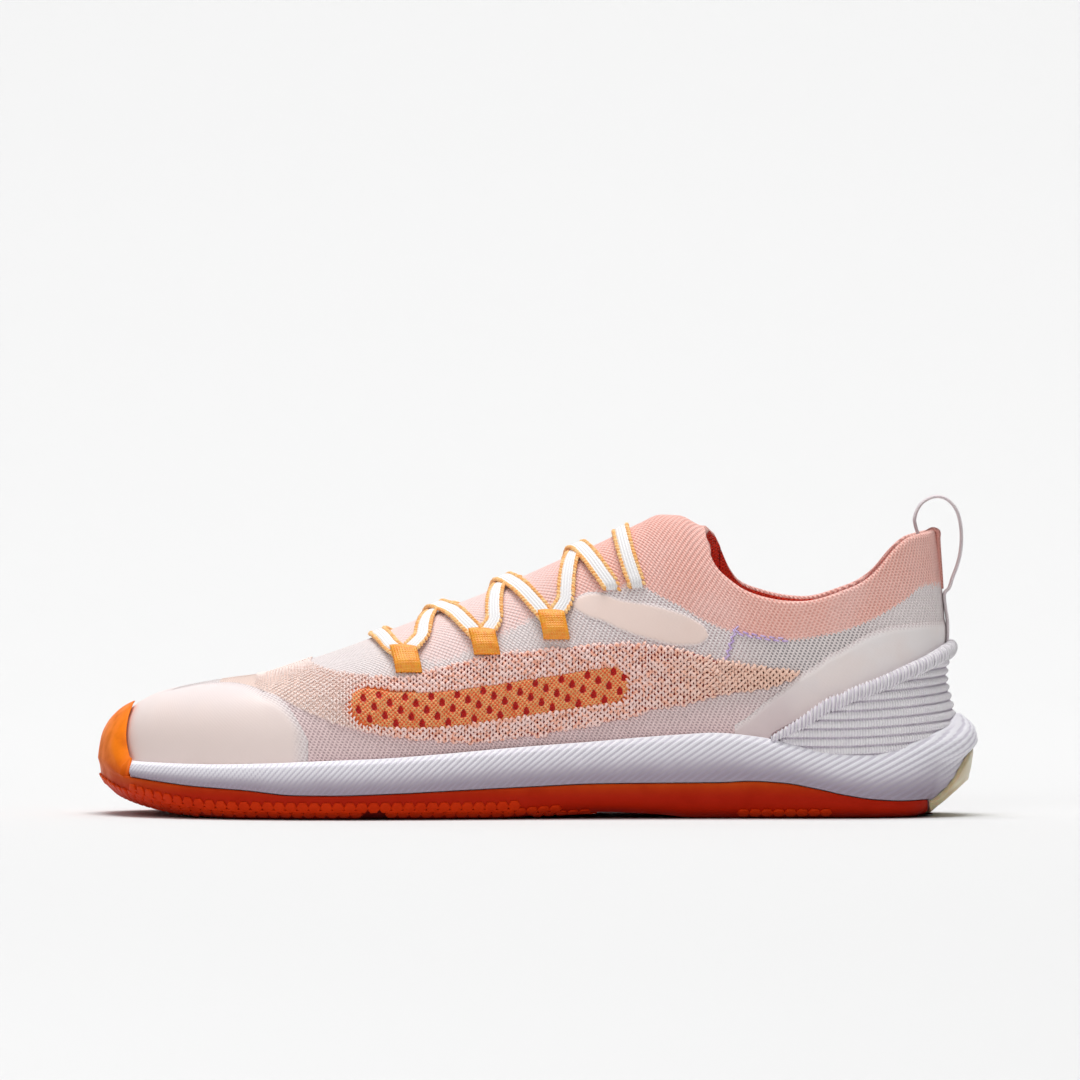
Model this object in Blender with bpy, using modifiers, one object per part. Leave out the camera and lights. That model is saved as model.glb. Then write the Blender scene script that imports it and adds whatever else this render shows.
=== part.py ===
"""A barefoot training shoe for the left foot: a knitted bootie on a foam cup and a rubber shell.

+X points to the heel, -Y to the outer side of the foot and +Z up. The origin is the middle of the
bounding box, on the floor, and every length is in metres. "Along" is a share of UPPER_LENGTH,
from the back of the upper to its nose. A "turn" of 0 to 1 goes round the heel, 1 to 2 runs along
the shoe and 2 to 3 goes round the toe, in the same way on both sides.
"""

import bisect
import math
from collections import namedtuple

import bmesh
import bpy
from mathutils import Matrix, Vector

# Driving sizes
UPPER_LENGTH = 0.2565
HEEL_FLARE = 0.0082
TOE_BUMPER = 0.0052
BALL_WIDTH = 0.088
SIDE_FLARE = 0.0045
INSTEP_HEIGHT = 0.0922
HEEL_HEIGHT = 0.0885
RIM_HEIGHT = 0.0262
WRAP_HEIGHT = 0.0114
TOE_SPRING = 0.0065
ARCH_RISE = 0.0018
FOOTBED_HEIGHT = 0.0085
FOOTBED_SPRING = 0.7
FIT_GAP = 0.0003

# Thicknesses and widths of the pieces
UPPER_WALL = 0.0018
OUTSOLE_FLOOR = 0.003
LIP_WIDTH = 0.0019
TOE_WALL = 0.0012
BUMPER_HEIGHT = 0.033
BUMPER_EDGE = 0.0006
BUMPER_EASE = 0.0003
PAD_THICKNESS = 0.0013
PAD_EASE = 0.0002
INSOLE_THICKNESS = 0.003
INSOLE_EASE = 0.0007
INSOLE_LIFT = 0.0006
FILM_THICKNESS = 0.0005
CUFF_THICKNESS = 0.002
ROLL_WIDTH = 0.0043
ROLL_THICKNESS = 0.0035
NOTCH_WIDTH = 0.012
NOTCH_HEIGHT = 0.0035
NOTCH_DEPTH = 0.0013
WAIST_DENT = 0.0025
LACE_WIDTH = 0.006
LACE_THICKNESS = 0.0012
LACE_EASE = 0.0004
CROSSING_CLIMB = 0.75
TAB_WIDTH = 0.008
TAB_TAPE = 0.0006
TAB_CHANNEL = 0.0018
TAB_SHOULDER = 0.35
TAB_BEVEL = 0.5
LOOP_WIDTH = 0.009
LOOP_THICKNESS = 0.001
LOOP_RISE = 0.0107
LOOP_REACH = 0.0073
LOOP_EASE = 0.0008

# Places along the shoe
HEEL_HUB = 0.105
WAIST_START = 0.135
TOE_START = 0.82
TOE_HUB = 0.885
THROAT_START = 0.296
STRETCH_START = 0.18
NOTCH_ALONG = 0.685
BUMPER_START = 2.6
WAIST_HEIGHT = 0.475
WAIST_SPREAD = 0.1

# How finely the forms are cut
SKIN_ROWS = 10
SECTION_STEPS = 72
OUTLINE_STEPS = 10
HALFWAY_SHARE = 0.45
LACE_STEP = 0.0045
LOOP_STEPS = 2
ROLL_FACETS = 8
NOTCH_FACETS = 32
INNER_RIM_ROWS = (1.0, 0.8, 0.5)
SHARP_ANGLE = math.radians(40)

LATERAL = -1
MEDIAL = 1
SIDES = (LATERAL, MEDIAL)

TOTAL_LENGTH = HEEL_FLARE + UPPER_LENGTH + TOE_BUMPER
BACK_X = TOTAL_LENGTH / 2 - HEEL_FLARE
WHITE = (0.86, 0.84, 0.85)
ORANGE = (0.83, 0.16, 0.03)
PEACH = (0.90, 0.62, 0.50)
CREAM = (0.93, 0.80, 0.66)
TAN = (0.78, 0.66, 0.50)
LINING_RED = (0.80, 0.30, 0.12)
TAPE_ORANGE = (0.95, 0.55, 0.22)
FILM_PINK = (0.89, 0.72, 0.66)
FILM_GREY = (0.80, 0.74, 0.72)
RIBBON_GREY = (0.85, 0.78, 0.77)


def table(columns, *rows):
    """A short table: each row is a named tuple of the columns."""
    row_type = namedtuple("Row", columns)
    return [row_type(*row) for row in rows]


# The upper's footprint, clockwise from the back of the heel: across is a share of BALL_WIDTH
OUTLINE = table(
    "along across",
    (0.0, -0.02), (0.012, -0.17), (0.045, -0.275), (0.10, -0.335), (0.18, -0.36),
    (0.30, -0.365), (0.42, -0.385), (0.54, -0.43), (0.64, -0.475), (0.72, -0.495),
    (0.80, -0.475), (0.87, -0.41), (0.93, -0.295), (0.975, -0.13), (1.0, 0.12),
    (0.985, 0.30), (0.94, 0.42), (0.88, 0.475), (0.80, 0.495), (0.72, 0.48),
    (0.64, 0.42), (0.54, 0.33), (0.44, 0.275), (0.34, 0.265), (0.22, 0.285),
    (0.12, 0.29), (0.05, 0.235), (0.012, 0.13),
)  # fmt: skip
TIP = OUTLINE[14]

# The line on which the sections are centred, across as a share of BALL_WIDTH
SPINE = table(
    "along across",
    (0.0, -0.02), (0.14, -0.035), (0.40, -0.055), (0.64, -0.03), (0.82, 0.03),
    (0.885, 0.06), (1.0, 0.12),
)  # fmt: skip

# Sections of the last: crest is a share of INSTEP_HEIGHT, and a section is squarer where its
# side and top powers are small. Crests behind the throat lie above the open collar.
SECTIONS = table(
    "along crest side top",
    (0.105, 1.48, 0.80, 1.00), (0.18, 1.30, 0.82, 1.00), (0.24, 1.09, 0.88, 1.00),
    (0.275, 0.985, 0.92, 1.00), (0.296, 0.963, 0.95, 0.98), (0.324, 0.997, 0.95, 0.96),
    (0.347, 1.00, 0.95, 0.95), (0.371, 0.973, 0.95, 0.94), (0.419, 0.907, 0.95, 0.92),
    (0.467, 0.850, 0.93, 0.90), (0.515, 0.790, 0.90, 0.87), (0.563, 0.733, 0.87, 0.84),
    (0.611, 0.680, 0.83, 0.80), (0.659, 0.627, 0.78, 0.75), (0.707, 0.574, 0.73, 0.69),
    (0.755, 0.527, 0.68, 0.63), (0.803, 0.484, 0.62, 0.56), (0.820, 0.470, 0.62, 0.54),
    (0.842, 0.457, 0.74, 0.54), (0.862, 0.442, 0.92, 0.55), (0.885, 0.427, 1.10, 0.56),
)  # fmt: skip

# The collar's edge, as shares of HEEL_HEIGHT on the outer and the inner side
COLLAR = table(
    "along outer inner",
    (0.020, 0.985, 0.985), (0.031, 0.974, 0.974), (0.049, 0.958, 0.958),
    (0.059, 0.954, 0.954), (0.065, 0.938, 0.938), (0.076, 0.887, 0.887),
    (0.089, 0.845, 0.845), (0.106, 0.803, 0.803), (0.142, 0.765, 0.765),
    (0.169, 0.739, 0.739), (0.201, 0.739, 0.739), (0.221, 0.751, 0.751),
    (0.245, 0.771, 0.771), (0.260, 0.800, 0.805), (0.272, 0.828, 0.880),
    (0.284, 0.869, 0.968), (0.290, 0.921, 0.989), (0.295, 1.000, 1.003),
)  # fmt: skip

# Top of the foam rim, as a share of RIM_HEIGHT
RIM = table(
    "along top",
    (-0.034, 1.256), (-0.004, 1.221), (0.0126, 1.053), (0.028, 0.981), (0.046, 0.901),
    (0.0736, 0.798), (0.0987, 0.737), (0.131, 0.744), (0.166, 0.802), (0.198, 0.878),
    (0.229, 0.950), (0.285, 1.0), (0.3236, 0.981), (0.3726, 0.947), (0.4276, 0.901),
    (0.4827, 0.863), (0.5377, 0.821), (0.6107, 0.760), (0.6824, 0.710), (0.7422, 0.687),
    (0.8128, 0.656), (0.888, 0.637), (0.961, 0.645), (1.0, 0.660),
)  # fmt: skip

# Top of the rubber's side wrap, as a share of WRAP_HEIGHT
WRAP = table(
    "along top",
    (0.0, 0.105), (0.011, 0.123), (0.020, 0.158), (0.027, 0.23), (0.034, 0.474),
    (0.0676, 0.456), (0.0987, 0.50), (0.13, 0.623), (0.161, 0.781), (0.2016, 0.947),
    (0.2434, 1.0), (0.2757, 0.965), (0.4193, 0.939), (0.515, 0.851), (0.611, 0.746),
    (0.659, 0.693), (0.742, 0.640), (0.784, 0.649), (0.839, 0.772), (0.898, 0.868),
    (0.955, 1.026), (0.9778, 1.105), (0.992, 1.263), (1.0, 1.316),
)  # fmt: skip

# Underside of the sole: spring is a share of TOE_SPRING and arch one of ARCH_RISE
UNDERSIDE = table(
    "along spring arch",
    (-0.04, 0.0, 0.0), (0.30, 0.0, 0.0), (0.36, 0.0, 0.65), (0.42, 0.0, 1.0),
    (0.48, 0.0, 0.65), (0.55, 0.0, 0.0), (0.85, 0.0, 0.0), (0.90, 0.09, 0.0),
    (0.945, 0.34, 0.0), (0.97, 0.55, 0.0), (0.99, 0.80, 0.0), (1.0, 1.0, 0.0),
    (1.02, 1.54, 0.0),
)  # fmt: skip

# Rubber side from the flat underside up to the lip: out is a share of that region's overhang,
# and up is a share of the height of the wrap there
RUBBER_SIDE = table(
    "side_out side_up heel_out heel_up toe_out toe_up",
    (-1.55, 0.0, -1.71, 0.0, -0.12, 0.0),
    (-0.50, 0.03, -1.46, 0.30, 0.35, 0.22),
    (0.35, 0.25, -1.28, 0.60, 0.60, 0.40),
    (0.80, 0.60, -1.17, 0.85, 0.83, 0.565),
    (0.88, 1.0, -1.10, 1.0, 0.96, 1.0),
)  # fmt: skip
LIP = RUBBER_SIDE[-1]

# Foam side from the rim down to the wrap: drop is a share of the height between them
FOAM_SIDE = table(
    "drop side_out heel_out",
    (0.0, 0.45, 0.35), (0.15, 0.80, 0.90), (0.28, 0.88, 1.0), (0.41, 0.94, 0.71),
    (0.58, 1.0, 0.60), (0.70, 0.985, 0.35), (0.81, 0.97, -0.065), (0.915, 0.92, -0.52),
    (1.0, 0.88, -1.05),
)  # fmt: skip

# How much of the heel's and the toe's own side profile each turn takes
BLEND = table(
    "turn heel toe",
    (0.0, 1.0, 0.0), (0.12, 1.0, 0.0), (0.25, 0.85, 0.0), (0.37, 0.50, 0.0),
    (0.5, 0.12, 0.0), (0.66, 0.0, 0.0), (2.0, 0.0, 0.0), (2.34, 0.0, 0.25),
    (2.6, 0.0, 0.60), (2.82, 0.0, 0.90), (3.0, 0.0, 1.0),
)  # fmt: skip
FLOOR_CORNER = table("side_out heel_out toe_out", (0.05, -1.6, 0.1))[0]

# Toe bumper: its top edge by turn as a share of BUMPER_HEIGHT, then its thickness by rise
BUMPER_TOP = table(
    "turn top",
    (2.615, 0.51), (2.67, 0.67), (2.75, 0.87), (2.86, 0.97), (3.0, 1.0),
)  # fmt: skip
BUMPER_SIDE = table(
    "rise lift",
    (0.3, 1.0), (0.5, 0.93), (0.68, 0.78), (0.82, 0.62), (0.92, 0.50), (1.0, 0.36),
)  # fmt: skip

# Heel insert: its top edge by turn, as a share of RIM_HEIGHT
PAD_TOP = table(
    "turn top",
    (0.0, 0.786), (0.12, 0.760), (0.25, 0.60), (0.37, 0.31), (0.46, 0.17),
)  # fmt: skip

# Rolled edge of the heel cuff and top edge of the heel film, as shares of HEEL_HEIGHT
ROLL = table(
    "turn height",
    (0.0, 0.582), (0.25, 0.564), (0.5, 0.519), (0.75, 0.461), (1.008, 0.398),
    (1.067, 0.328), (1.118, 0.273),
)  # fmt: skip
ROLL_END = 1.085
HEEL_FILM = table(
    "turn height",
    (0.0, 0.678), (0.25, 0.676), (0.63, 0.664), (0.753, 0.649), (0.843, 0.629),
    (0.93, 0.603), (1.008, 0.575), (1.038, 0.533), (1.0675, 0.498), (1.10, 0.445),
    (1.1286, 0.4045), (1.158, 0.3525), (1.1825, 0.322),
)  # fmt: skip

# Top edge of the toe film, as a share of the way from the footbed to the crest
TOE_FILM = table(
    "turn share",
    (1.92, 0.22), (1.95, 0.36), (1.98, 0.46), (2.05, 0.56), (2.2, 0.66), (2.4, 0.70),
    (2.7, 0.70), (3.0, 0.73),
)  # fmt: skip

TOE_FILM_TURNS = (1.935, 1.95, 1.98, 2.04, 2.1, 2.25)

# The leaf beside the top eyelets, its edges as shares of INSTEP_HEIGHT
EYESTAY = table(
    "along low high",
    (0.290, 0.582, 0.612), (0.304, 0.566, 0.648), (0.321, 0.562, 0.680),
    (0.3415, 0.571, 0.720), (0.371, 0.588, 0.750), (0.395, 0.617, 0.752),
    (0.412, 0.645, 0.743), (0.430, 0.671, 0.735), (0.438, 0.699, 0.727),
)  # fmt: skip

# Lace tabs from the toe up: their edges as shares of INSTEP_HEIGHT
TABS = table(
    "name along low high",
    ("front", 0.650, 0.471, 0.567),
    ("middle", 0.5604, 0.539, 0.617),
    ("back", 0.478, 0.589, 0.680),
)  # fmt: skip

# Laces: where a strand starts, crosses the ridge and ends, with its heights as shares of
# INSTEP_HEIGHT. A crossing is two such strands that mirror each other.
LACES = table(
    "name crossed start_along start_height ridge_along end_along end_height",
    ("lace_bar_front", False, 0.6640, 0.590, 0.6840, 0.6640, 0.590),
    ("lace_cross_front", True, 0.6300, 0.592, 0.6130, 0.5790, 0.640),
    ("lace_cross_middle", True, 0.5440, 0.646, 0.5330, 0.4960, 0.706),
    ("lace_cross_back", True, 0.4600, 0.712, 0.4450, 0.4060, 0.765),
    ("lace_bar_top", False, 0.3760, 0.774, 0.3930, 0.3760, 0.774),
)  # fmt: skip

# Free part of the pull loop from the inside to the outside, measured from the collar's edge:
# back is a share of LOOP_REACH and up one of LOOP_RISE
LOOP = table(
    "back up",
    (-0.84, 0.14), (-0.85, 0.50), (-0.59, 0.82), (-0.16, 0.99), (0.25, 1.0),
    (0.62, 0.85), (0.90, 0.58), (1.0, 0.22), (0.96, -0.17), (0.86, -0.63),
    (0.71, -1.0),
)  # fmt: skip
LOOP_INNER_LEG = (0.80, 0.88)
LOOP_TAPE = (0.79, 0.72, 0.66, 0.615)

# Turns at which the upper's sections lie, and those that the sole's sections share
HEEL_TURNS = (0.0, 0.12, 0.25, 0.37, 0.5, 0.66, 0.83)
TOE_TURNS = (2.0, 2.17, 2.34, 2.48, 2.585, 2.6, 2.615, 2.67, 2.75, 2.86, 3.0)
SOLE_ALONGS = (
    0.135, 0.165, 0.195, 0.24, 0.285, 0.33, 0.385, 0.445, 0.505, 0.565, 0.625, 0.685,
    0.715, 0.745, 0.795,
)  # fmt: skip
UPPER_ALONGS = (
    0.22, 0.255, 0.267, 0.277, 0.291, 0.296, 0.31, 0.355, 0.415, 0.475, 0.535, 0.595,
    0.655, 0.77,
)  # fmt: skip


def smooth(rows, key, value):
    """A function through one column of a table, with no overshoot between its rows."""
    places = [getattr(row, key) for row in rows]
    values = [getattr(row, value) for row in rows]
    steps = [after - before for before, after in zip(places, places[1:])]
    slopes = [(values[i + 1] - values[i]) / step for i, step in enumerate(steps)]
    tangents = [slopes[0]]
    for before, after in zip(slopes, slopes[1:]):
        rising_on = before * after > 0
        tangents.append(2 * before * after / (before + after) if rising_on else 0.0)
    tangents.append(slopes[-1])

    def at(place):
        place = min(max(place, places[0]), places[-1])
        i = min(bisect.bisect_right(places, place) - 1, len(steps) - 1)
        t = (place - places[i]) / steps[i]
        start = (1 + 2 * t) * (1 - t) ** 2 * values[i] + t**2 * (3 - 2 * t) * values[i + 1]
        lean = t * (1 - t) ** 2 * tangents[i] - t**2 * (1 - t) * tangents[i + 1]
        return start + lean * steps[i]

    return at


def rounded(points, steps, closed):
    """A smooth line through the points, with a number of steps between each two."""
    count = len(points)
    spans = count if closed else count - 1
    line = []
    for i in range(spans):
        around = []
        for j in (i - 1, i, i + 1, i + 2):
            around.append(points[j % count] if closed else points[min(max(j, 0), count - 1)])
        before, start, end, after = around
        for step in range(steps):
            t = step / steps
            line.append(
                0.5 * (2 * start + (end - before) * t
                + (2 * before - 5 * start + 4 * end - after) * t**2
                + (3 * start - before - 3 * end + after) * t**3)
            )  # fmt: skip
    if not closed:
        line.append(points[-1])
    return line


spine_across = smooth(SPINE, "along", "across")
crest_of = smooth(SECTIONS, "along", "crest")
side_power = smooth(SECTIONS, "along", "side")
top_power = smooth(SECTIONS, "along", "top")
collar_of = {LATERAL: smooth(COLLAR, "along", "outer"), MEDIAL: smooth(COLLAR, "along", "inner")}
rim_of = smooth(RIM, "along", "top")
wrap_of = smooth(WRAP, "along", "top")
spring_of = smooth(UNDERSIDE, "along", "spring")
arch_of = smooth(UNDERSIDE, "along", "arch")
heel_blend = smooth(BLEND, "turn", "heel")
toe_blend = smooth(BLEND, "turn", "toe")
FOOTPRINT = rounded(
    [Vector((BACK_X - row.along * UPPER_LENGTH, row.across * BALL_WIDTH)) for row in OUTLINE],
    OUTLINE_STEPS,
    closed=True,
)


def along_of(x):
    """Share of the upper's length at a world X."""
    return (BACK_X - x) / UPPER_LENGTH


def turn_at(along):
    """Turn of the straight stretch at a share of the length."""
    return 1 + (along - WAIST_START) / (TOE_START - WAIST_START)


def hub_along(turn):
    """Share of the length at which the section of a turn is centred."""
    if turn <= 1:
        return HEEL_HUB + (WAIST_START - HEEL_HUB) * turn
    if turn <= 2:
        return WAIST_START + (TOE_START - WAIST_START) * (turn - 1)
    return TOE_START + (TOE_HUB - TOE_START) * (turn - 2)


def hub(turn):
    """Centre of a section, in plan."""
    along = hub_along(turn)
    return Vector((BACK_X - along * UPPER_LENGTH, spine_across(along) * BALL_WIDTH))


def way(turn, side):
    """Direction in plan from the hub to the outline."""
    quarter = math.pi / 2
    if turn <= 1:
        angle = quarter * turn
    elif turn <= 2:
        angle = quarter
    else:
        run = (TIP.along - TOE_HUB) * UPPER_LENGTH
        aim = math.atan2(TIP.across * BALL_WIDTH - hub(3).y, run)
        angle = quarter + (quarter - side * aim) * (turn - 2)
    return Vector((math.cos(angle), side * math.sin(angle)))


def reach(turn, side):
    """Distance in plan from the hub to the upper's outline."""
    start = hub(turn)
    heading = way(turn, side)
    for near, far in zip(FOOTPRINT, FOOTPRINT[1:] + FOOTPRINT[:1]):
        edge = far - near
        lean = heading.cross(edge)
        if abs(lean) < 1e-12:
            continue
        distance = (near - start).cross(edge) / lean
        share = (near - start).cross(heading) / lean
        if distance > 0 and -1e-9 <= share <= 1 + 1e-9:
            return distance
    raise ValueError("the outline is not closed")


def in_plan(turn, side, distance):
    """The point in plan at a distance from the hub."""
    return hub(turn) + way(turn, side) * distance


def at_height(spot, height):
    return Vector((spot.x, spot.y, height))


def under(x):
    """Height of the sole's underside."""
    along = along_of(x)
    return TOE_SPRING * spring_of(along) + ARCH_RISE * arch_of(along)


def footbed(x):
    """Height of the foam's top inside the shoe."""
    return FOOTBED_HEIGHT + FOOTBED_SPRING * TOE_SPRING * spring_of(along_of(x))


def rim_height(turn, side):
    return RIM_HEIGHT * rim_of(along_of(in_plan(turn, side, reach(turn, side)).x))


def wrap_height(turn, side):
    return WRAP_HEIGHT * wrap_of(along_of(in_plan(turn, side, reach(turn, side)).x))


def evenly(points, count, edge, stretch):
    """Points along a line, spaced by its length and by how much it bends.

    The spacing would fill the line up to its edge, or beyond that by a stretch of up to 1, and
    points that fall beyond the edge stay on it.
    """
    efforts = [0.0]
    total = sum((b - a).length for a, b in zip(points, points[1:]))
    for i in range(1, len(points)):
        step = (points[i] - points[i - 1]).length / total
        bend = 0.0
        if i < len(points) - 1:
            bend = (points[i] - points[i - 1]).angle(points[i + 1] - points[i], 0.0)
        efforts.append(efforts[-1] + step + bend / math.pi)
    end = efforts[edge] + stretch * (efforts[-1] - efforts[edge])
    chosen = []
    for k in range(count + 1):
        target = min(end * k / count, efforts[edge])
        i = min(max(bisect.bisect_left(efforts, target), 1), len(efforts) - 1)
        share = (target - efforts[i - 1]) / max(efforts[i] - efforts[i - 1], 1e-12)
        chosen.append(points[i - 1].lerp(points[i], share))
    return chosen


def skin_section(turn, side):
    """The upper's outer face at a turn, from the footbed to the collar or the crest."""
    along = hub_along(turn)
    distance = reach(turn, side)
    base = footbed(in_plan(turn, side, distance).x) + FIT_GAP
    crest = INSTEP_HEIGHT * crest_of(along)
    fade = math.cos(math.pi / 2 * turn) ** 2 if turn < 1 else 0.0
    collar = None
    short_by = 0.0
    line = []
    for step in range(SECTION_STEPS + 1):
        angle = math.pi / 4 * (1 - math.cos(math.pi * step / SECTION_STEPS))
        height = base + (crest - base) * math.sin(angle) ** top_power(along)
        inward = (height / HEEL_HEIGHT - WAIST_HEIGHT) / WAIST_SPREAD
        dent = WAIST_DENT * fade * math.exp(-(inward**2))
        out = distance * max(math.cos(angle), 0.0) ** side_power(along) - dent
        spot = in_plan(turn, side, max(out, 0.0))
        point = at_height(spot, height)
        over = height - HEEL_HEIGHT * collar_of[side](along_of(spot.x))
        if collar is None and along < THROAT_START - 1e-6 and over > 0:
            collar = len(line)
            line.append(line[-1].lerp(point, short_by / (short_by + over)))
        short_by = -over
        line.append(point)
    run = (along - STRETCH_START) / (THROAT_START - STRETCH_START)
    return evenly(line, SKIN_ROWS, collar or len(line) - 1, min(max(run, 0.0), 1.0))


def foam_section(turn, side):
    """The midsole's outer face at a turn, from its lower edge up to the rim."""
    distance = reach(turn, side)
    rim = rim_height(turn, side)
    shelf = wrap_height(turn, side) + FIT_GAP
    heel = heel_blend(turn)
    line = []
    for row in reversed(FOAM_SIDE):
        out = (1 - heel) * row.side_out * SIDE_FLARE + heel * row.heel_out * HEEL_FLARE
        if turn >= BUMPER_START:
            out = FIT_GAP + TOE_WALL
        spot = in_plan(turn, side, distance + out)
        line.append(Vector((spot.x, spot.y, rim - row.drop * (rim - shelf))))
    return line


class Column:
    """A line up a surface at one turn, with the surface's normals on it."""

    def __init__(self, points, normals):
        self.points = points
        self.normals = normals
        lengths = [0.0]
        for low, high in zip(points, points[1:]):
            lengths.append(lengths[-1] + (high - low).length)
        self.length = lengths[-1]
        self.shares = [length / self.length for length in lengths]

    def at(self, share, lift):
        """The point at a share of the line's length, lifted off the surface."""
        share = min(max(share, 0.0), 1.0)
        i = min(max(bisect.bisect_left(self.shares, share), 1), len(self.shares) - 1)
        t = (share - self.shares[i - 1]) / max(self.shares[i] - self.shares[i - 1], 1e-12)
        normal = self.normals[i - 1].lerp(self.normals[i], t).normalized()
        return self.points[i - 1].lerp(self.points[i], t) + normal * lift

    def share_at(self, height):
        """The share at which the line first reaches a height."""
        for i in range(1, len(self.points)):
            low = self.points[i - 1].z
            high = self.points[i].z
            if low <= height <= high:
                t = (height - low) / max(high - low, 1e-9)
                return self.shares[i - 1] + t * (self.shares[i] - self.shares[i - 1])
        return 0.0 if height < self.points[0].z else 1.0

    def nearest_share(self, point):
        """The share of the line that lies closest to a point."""
        best = (math.inf, 0.0)
        for i in range(1, len(self.points)):
            low = self.points[i - 1]
            run = self.points[i] - low
            t = min(max((point - low).dot(run) / max(run.length_squared, 1e-12), 0.0), 1.0)
            share = self.shares[i - 1] + t * (self.shares[i] - self.shares[i - 1])
            best = min(best, ((low + run * t - point).length, share))
        return best[1]

    def cut(self, low, high, lift):
        """The line's own rows, held between two shares."""
        return [self.at(min(max(share, low), high), lift) for share in self.shares]


class Surface:
    """Sections at fixed turns on both sides, with straight facets between them."""

    def __init__(self, section, turns):
        self.turns = turns
        lines = {(turn, side): section(turn, side) for turn in turns for side in SIDES}
        mesh = bmesh.new()
        for side in SIDES:
            for before, after in zip(turns, turns[1:]):
                add_strip(mesh, lines[before, side], lines[after, side])
        bmesh.ops.remove_doubles(mesh, verts=mesh.verts, dist=1e-6)
        face_out(mesh)
        mesh.normal_update()
        found = {self.key(vert.co): vert.normal.copy() for vert in mesh.verts}
        mesh.free()
        self.columns = {}
        for place, points in lines.items():
            normals = [found.get(self.key(point), None) for point in points]
            for i, normal in enumerate(normals):
                if normal is None:
                    normals[i] = nearest(found, points[i])
            self.columns[place] = Column(points, normals)

    @staticmethod
    def key(point):
        return tuple(round(value, 6) for value in point)

    def column(self, turn, side):
        """The column at any turn, on the facets between two sections."""
        i = min(max(bisect.bisect_right(self.turns, turn + 1e-9), 1), len(self.turns) - 1)
        before = self.columns[self.turns[i - 1], side]
        after = self.columns[self.turns[i], side]
        t = (turn - self.turns[i - 1]) / (self.turns[i] - self.turns[i - 1])
        if t < 1e-6:
            return before
        points = [a.lerp(b, t) for a, b in zip(before.points, after.points)]
        normals = [a.lerp(b, t).normalized() for a, b in zip(before.normals, after.normals)]
        return Column(points, normals)

    def turns_between(self, low, high, more=()):
        """The section turns of a range, with the range's own ends and any more."""
        inside = [turn for turn in (*self.turns, *more) if low + 1e-3 < turn < high - 1e-3]
        return [low, *sorted(inside), high]


def nearest(found, point):
    """The normal kept for the closest vertex, for a vertex that was merged away."""
    best = min(found, key=lambda other: (Vector(other) - point).length_squared)
    return found[best]


def add_strip(mesh, first, second, closed=False, shorter=False):
    """Triangles between two lines of as many points, cut along one or the shorter diagonal."""
    ends = [[mesh.verts.new(point) for point in line] for line in (first, second)]
    count = len(first)
    for k in range(count if closed else count - 1):
        after = (k + 1) % count
        a, b = ends[0][k], ends[0][after]
        c, d = ends[1][after], ends[1][k]
        if shorter and (b.co - d.co).length < (a.co - c.co).length:
            a, b, c, d = b, c, d, a
        mesh.faces.new((a, d, c))
        mesh.faces.new((a, c, b))


def add_cap(mesh, loop):
    """A flat end over a loop of points."""
    mesh.faces.new([mesh.verts.new(point) for point in loop])


def face_out(mesh):
    """Turns the faces to one side, and away from the middle of the shoe."""
    bmesh.ops.recalc_face_normals(mesh, faces=mesh.faces)
    mesh.normal_update()
    lean = 0.0
    for face in mesh.faces:
        centre = face.calc_center_median()
        outward = Vector((0.0, centre.y, centre.z - FOOTBED_HEIGHT))
        lean += face.normal.dot(outward) * face.calc_area()
    if lean < 0:
        bmesh.ops.reverse_faces(mesh, faces=mesh.faces)


def material(name, color, roughness):
    """A plain finish of the piece's own colour."""
    made = bpy.data.materials.new(name)
    made.use_nodes = True
    shader = made.node_tree.nodes["Principled BSDF"]
    shader.inputs["Base Color"].default_value = (*color, 1.0)
    shader.inputs["Roughness"].default_value = roughness
    shader.inputs["Metallic"].default_value = 0.0
    return made


def add_object(name, mesh, color, roughness, collection="shoe"):
    """An object of its own from a bmesh, smooth but for its sharp edges."""
    bmesh.ops.remove_doubles(mesh, verts=mesh.verts, dist=1e-6)
    bmesh.ops.dissolve_degenerate(mesh, dist=1e-6, edges=mesh.edges)
    data = bpy.data.meshes.new(name)
    mesh.to_mesh(data)
    mesh.free()
    data.materials.append(material(name, color, roughness))
    data.shade_smooth()
    data.set_sharp_from_angle(angle=SHARP_ANGLE)
    made = bpy.data.objects.new(name, data)
    bpy.data.collections[collection].objects.link(made)
    return made


def add_solid(name, mesh, color, roughness):
    """A closed solid with its faces pointing out."""
    bmesh.ops.remove_doubles(mesh, verts=mesh.verts, dist=1e-6)
    bmesh.ops.recalc_face_normals(mesh, faces=mesh.faces)
    return add_object(name, mesh, color, roughness)


def add_shell(name, lines, thickness, color, roughness, shorter=False):
    """An open surface between neighbouring lines, thickened outward."""
    mesh = bmesh.new()
    for first, second in zip(lines, lines[1:]):
        add_strip(mesh, first, second, shorter=shorter)
    bmesh.ops.remove_doubles(mesh, verts=mesh.verts, dist=1e-5)
    face_out(mesh)
    made = add_object(name, mesh, color, roughness)
    wall = made.modifiers.new("wall", "SOLIDIFY")
    wall.thickness = thickness
    wall.offset = 1.0
    wall.use_even_offset = True
    return made


def add_ring(name, profile, turns, color, roughness):
    """A solid whose section at each turn is one profile on each side of the hub."""
    mesh = bmesh.new()
    for side in SIDES:
        lines = [profile(turn, side) for turn in turns]
        for before, after in zip(lines, lines[1:]):
            add_strip(mesh, before, after, shorter=True)
    return add_solid(name, mesh, color, roughness)


def add_sweep(name, sections, color, roughness):
    """A solid through closed sections, with flat ends."""
    mesh = bmesh.new()
    for before, after in zip(sections, sections[1:]):
        add_strip(mesh, before, after, closed=True)
    add_cap(mesh, sections[0])
    add_cap(mesh, list(reversed(sections[-1])))
    bmesh.ops.triangulate(mesh, faces=[face for face in mesh.faces if len(face.verts) > 4])
    return add_solid(name, mesh, color, roughness)


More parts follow.
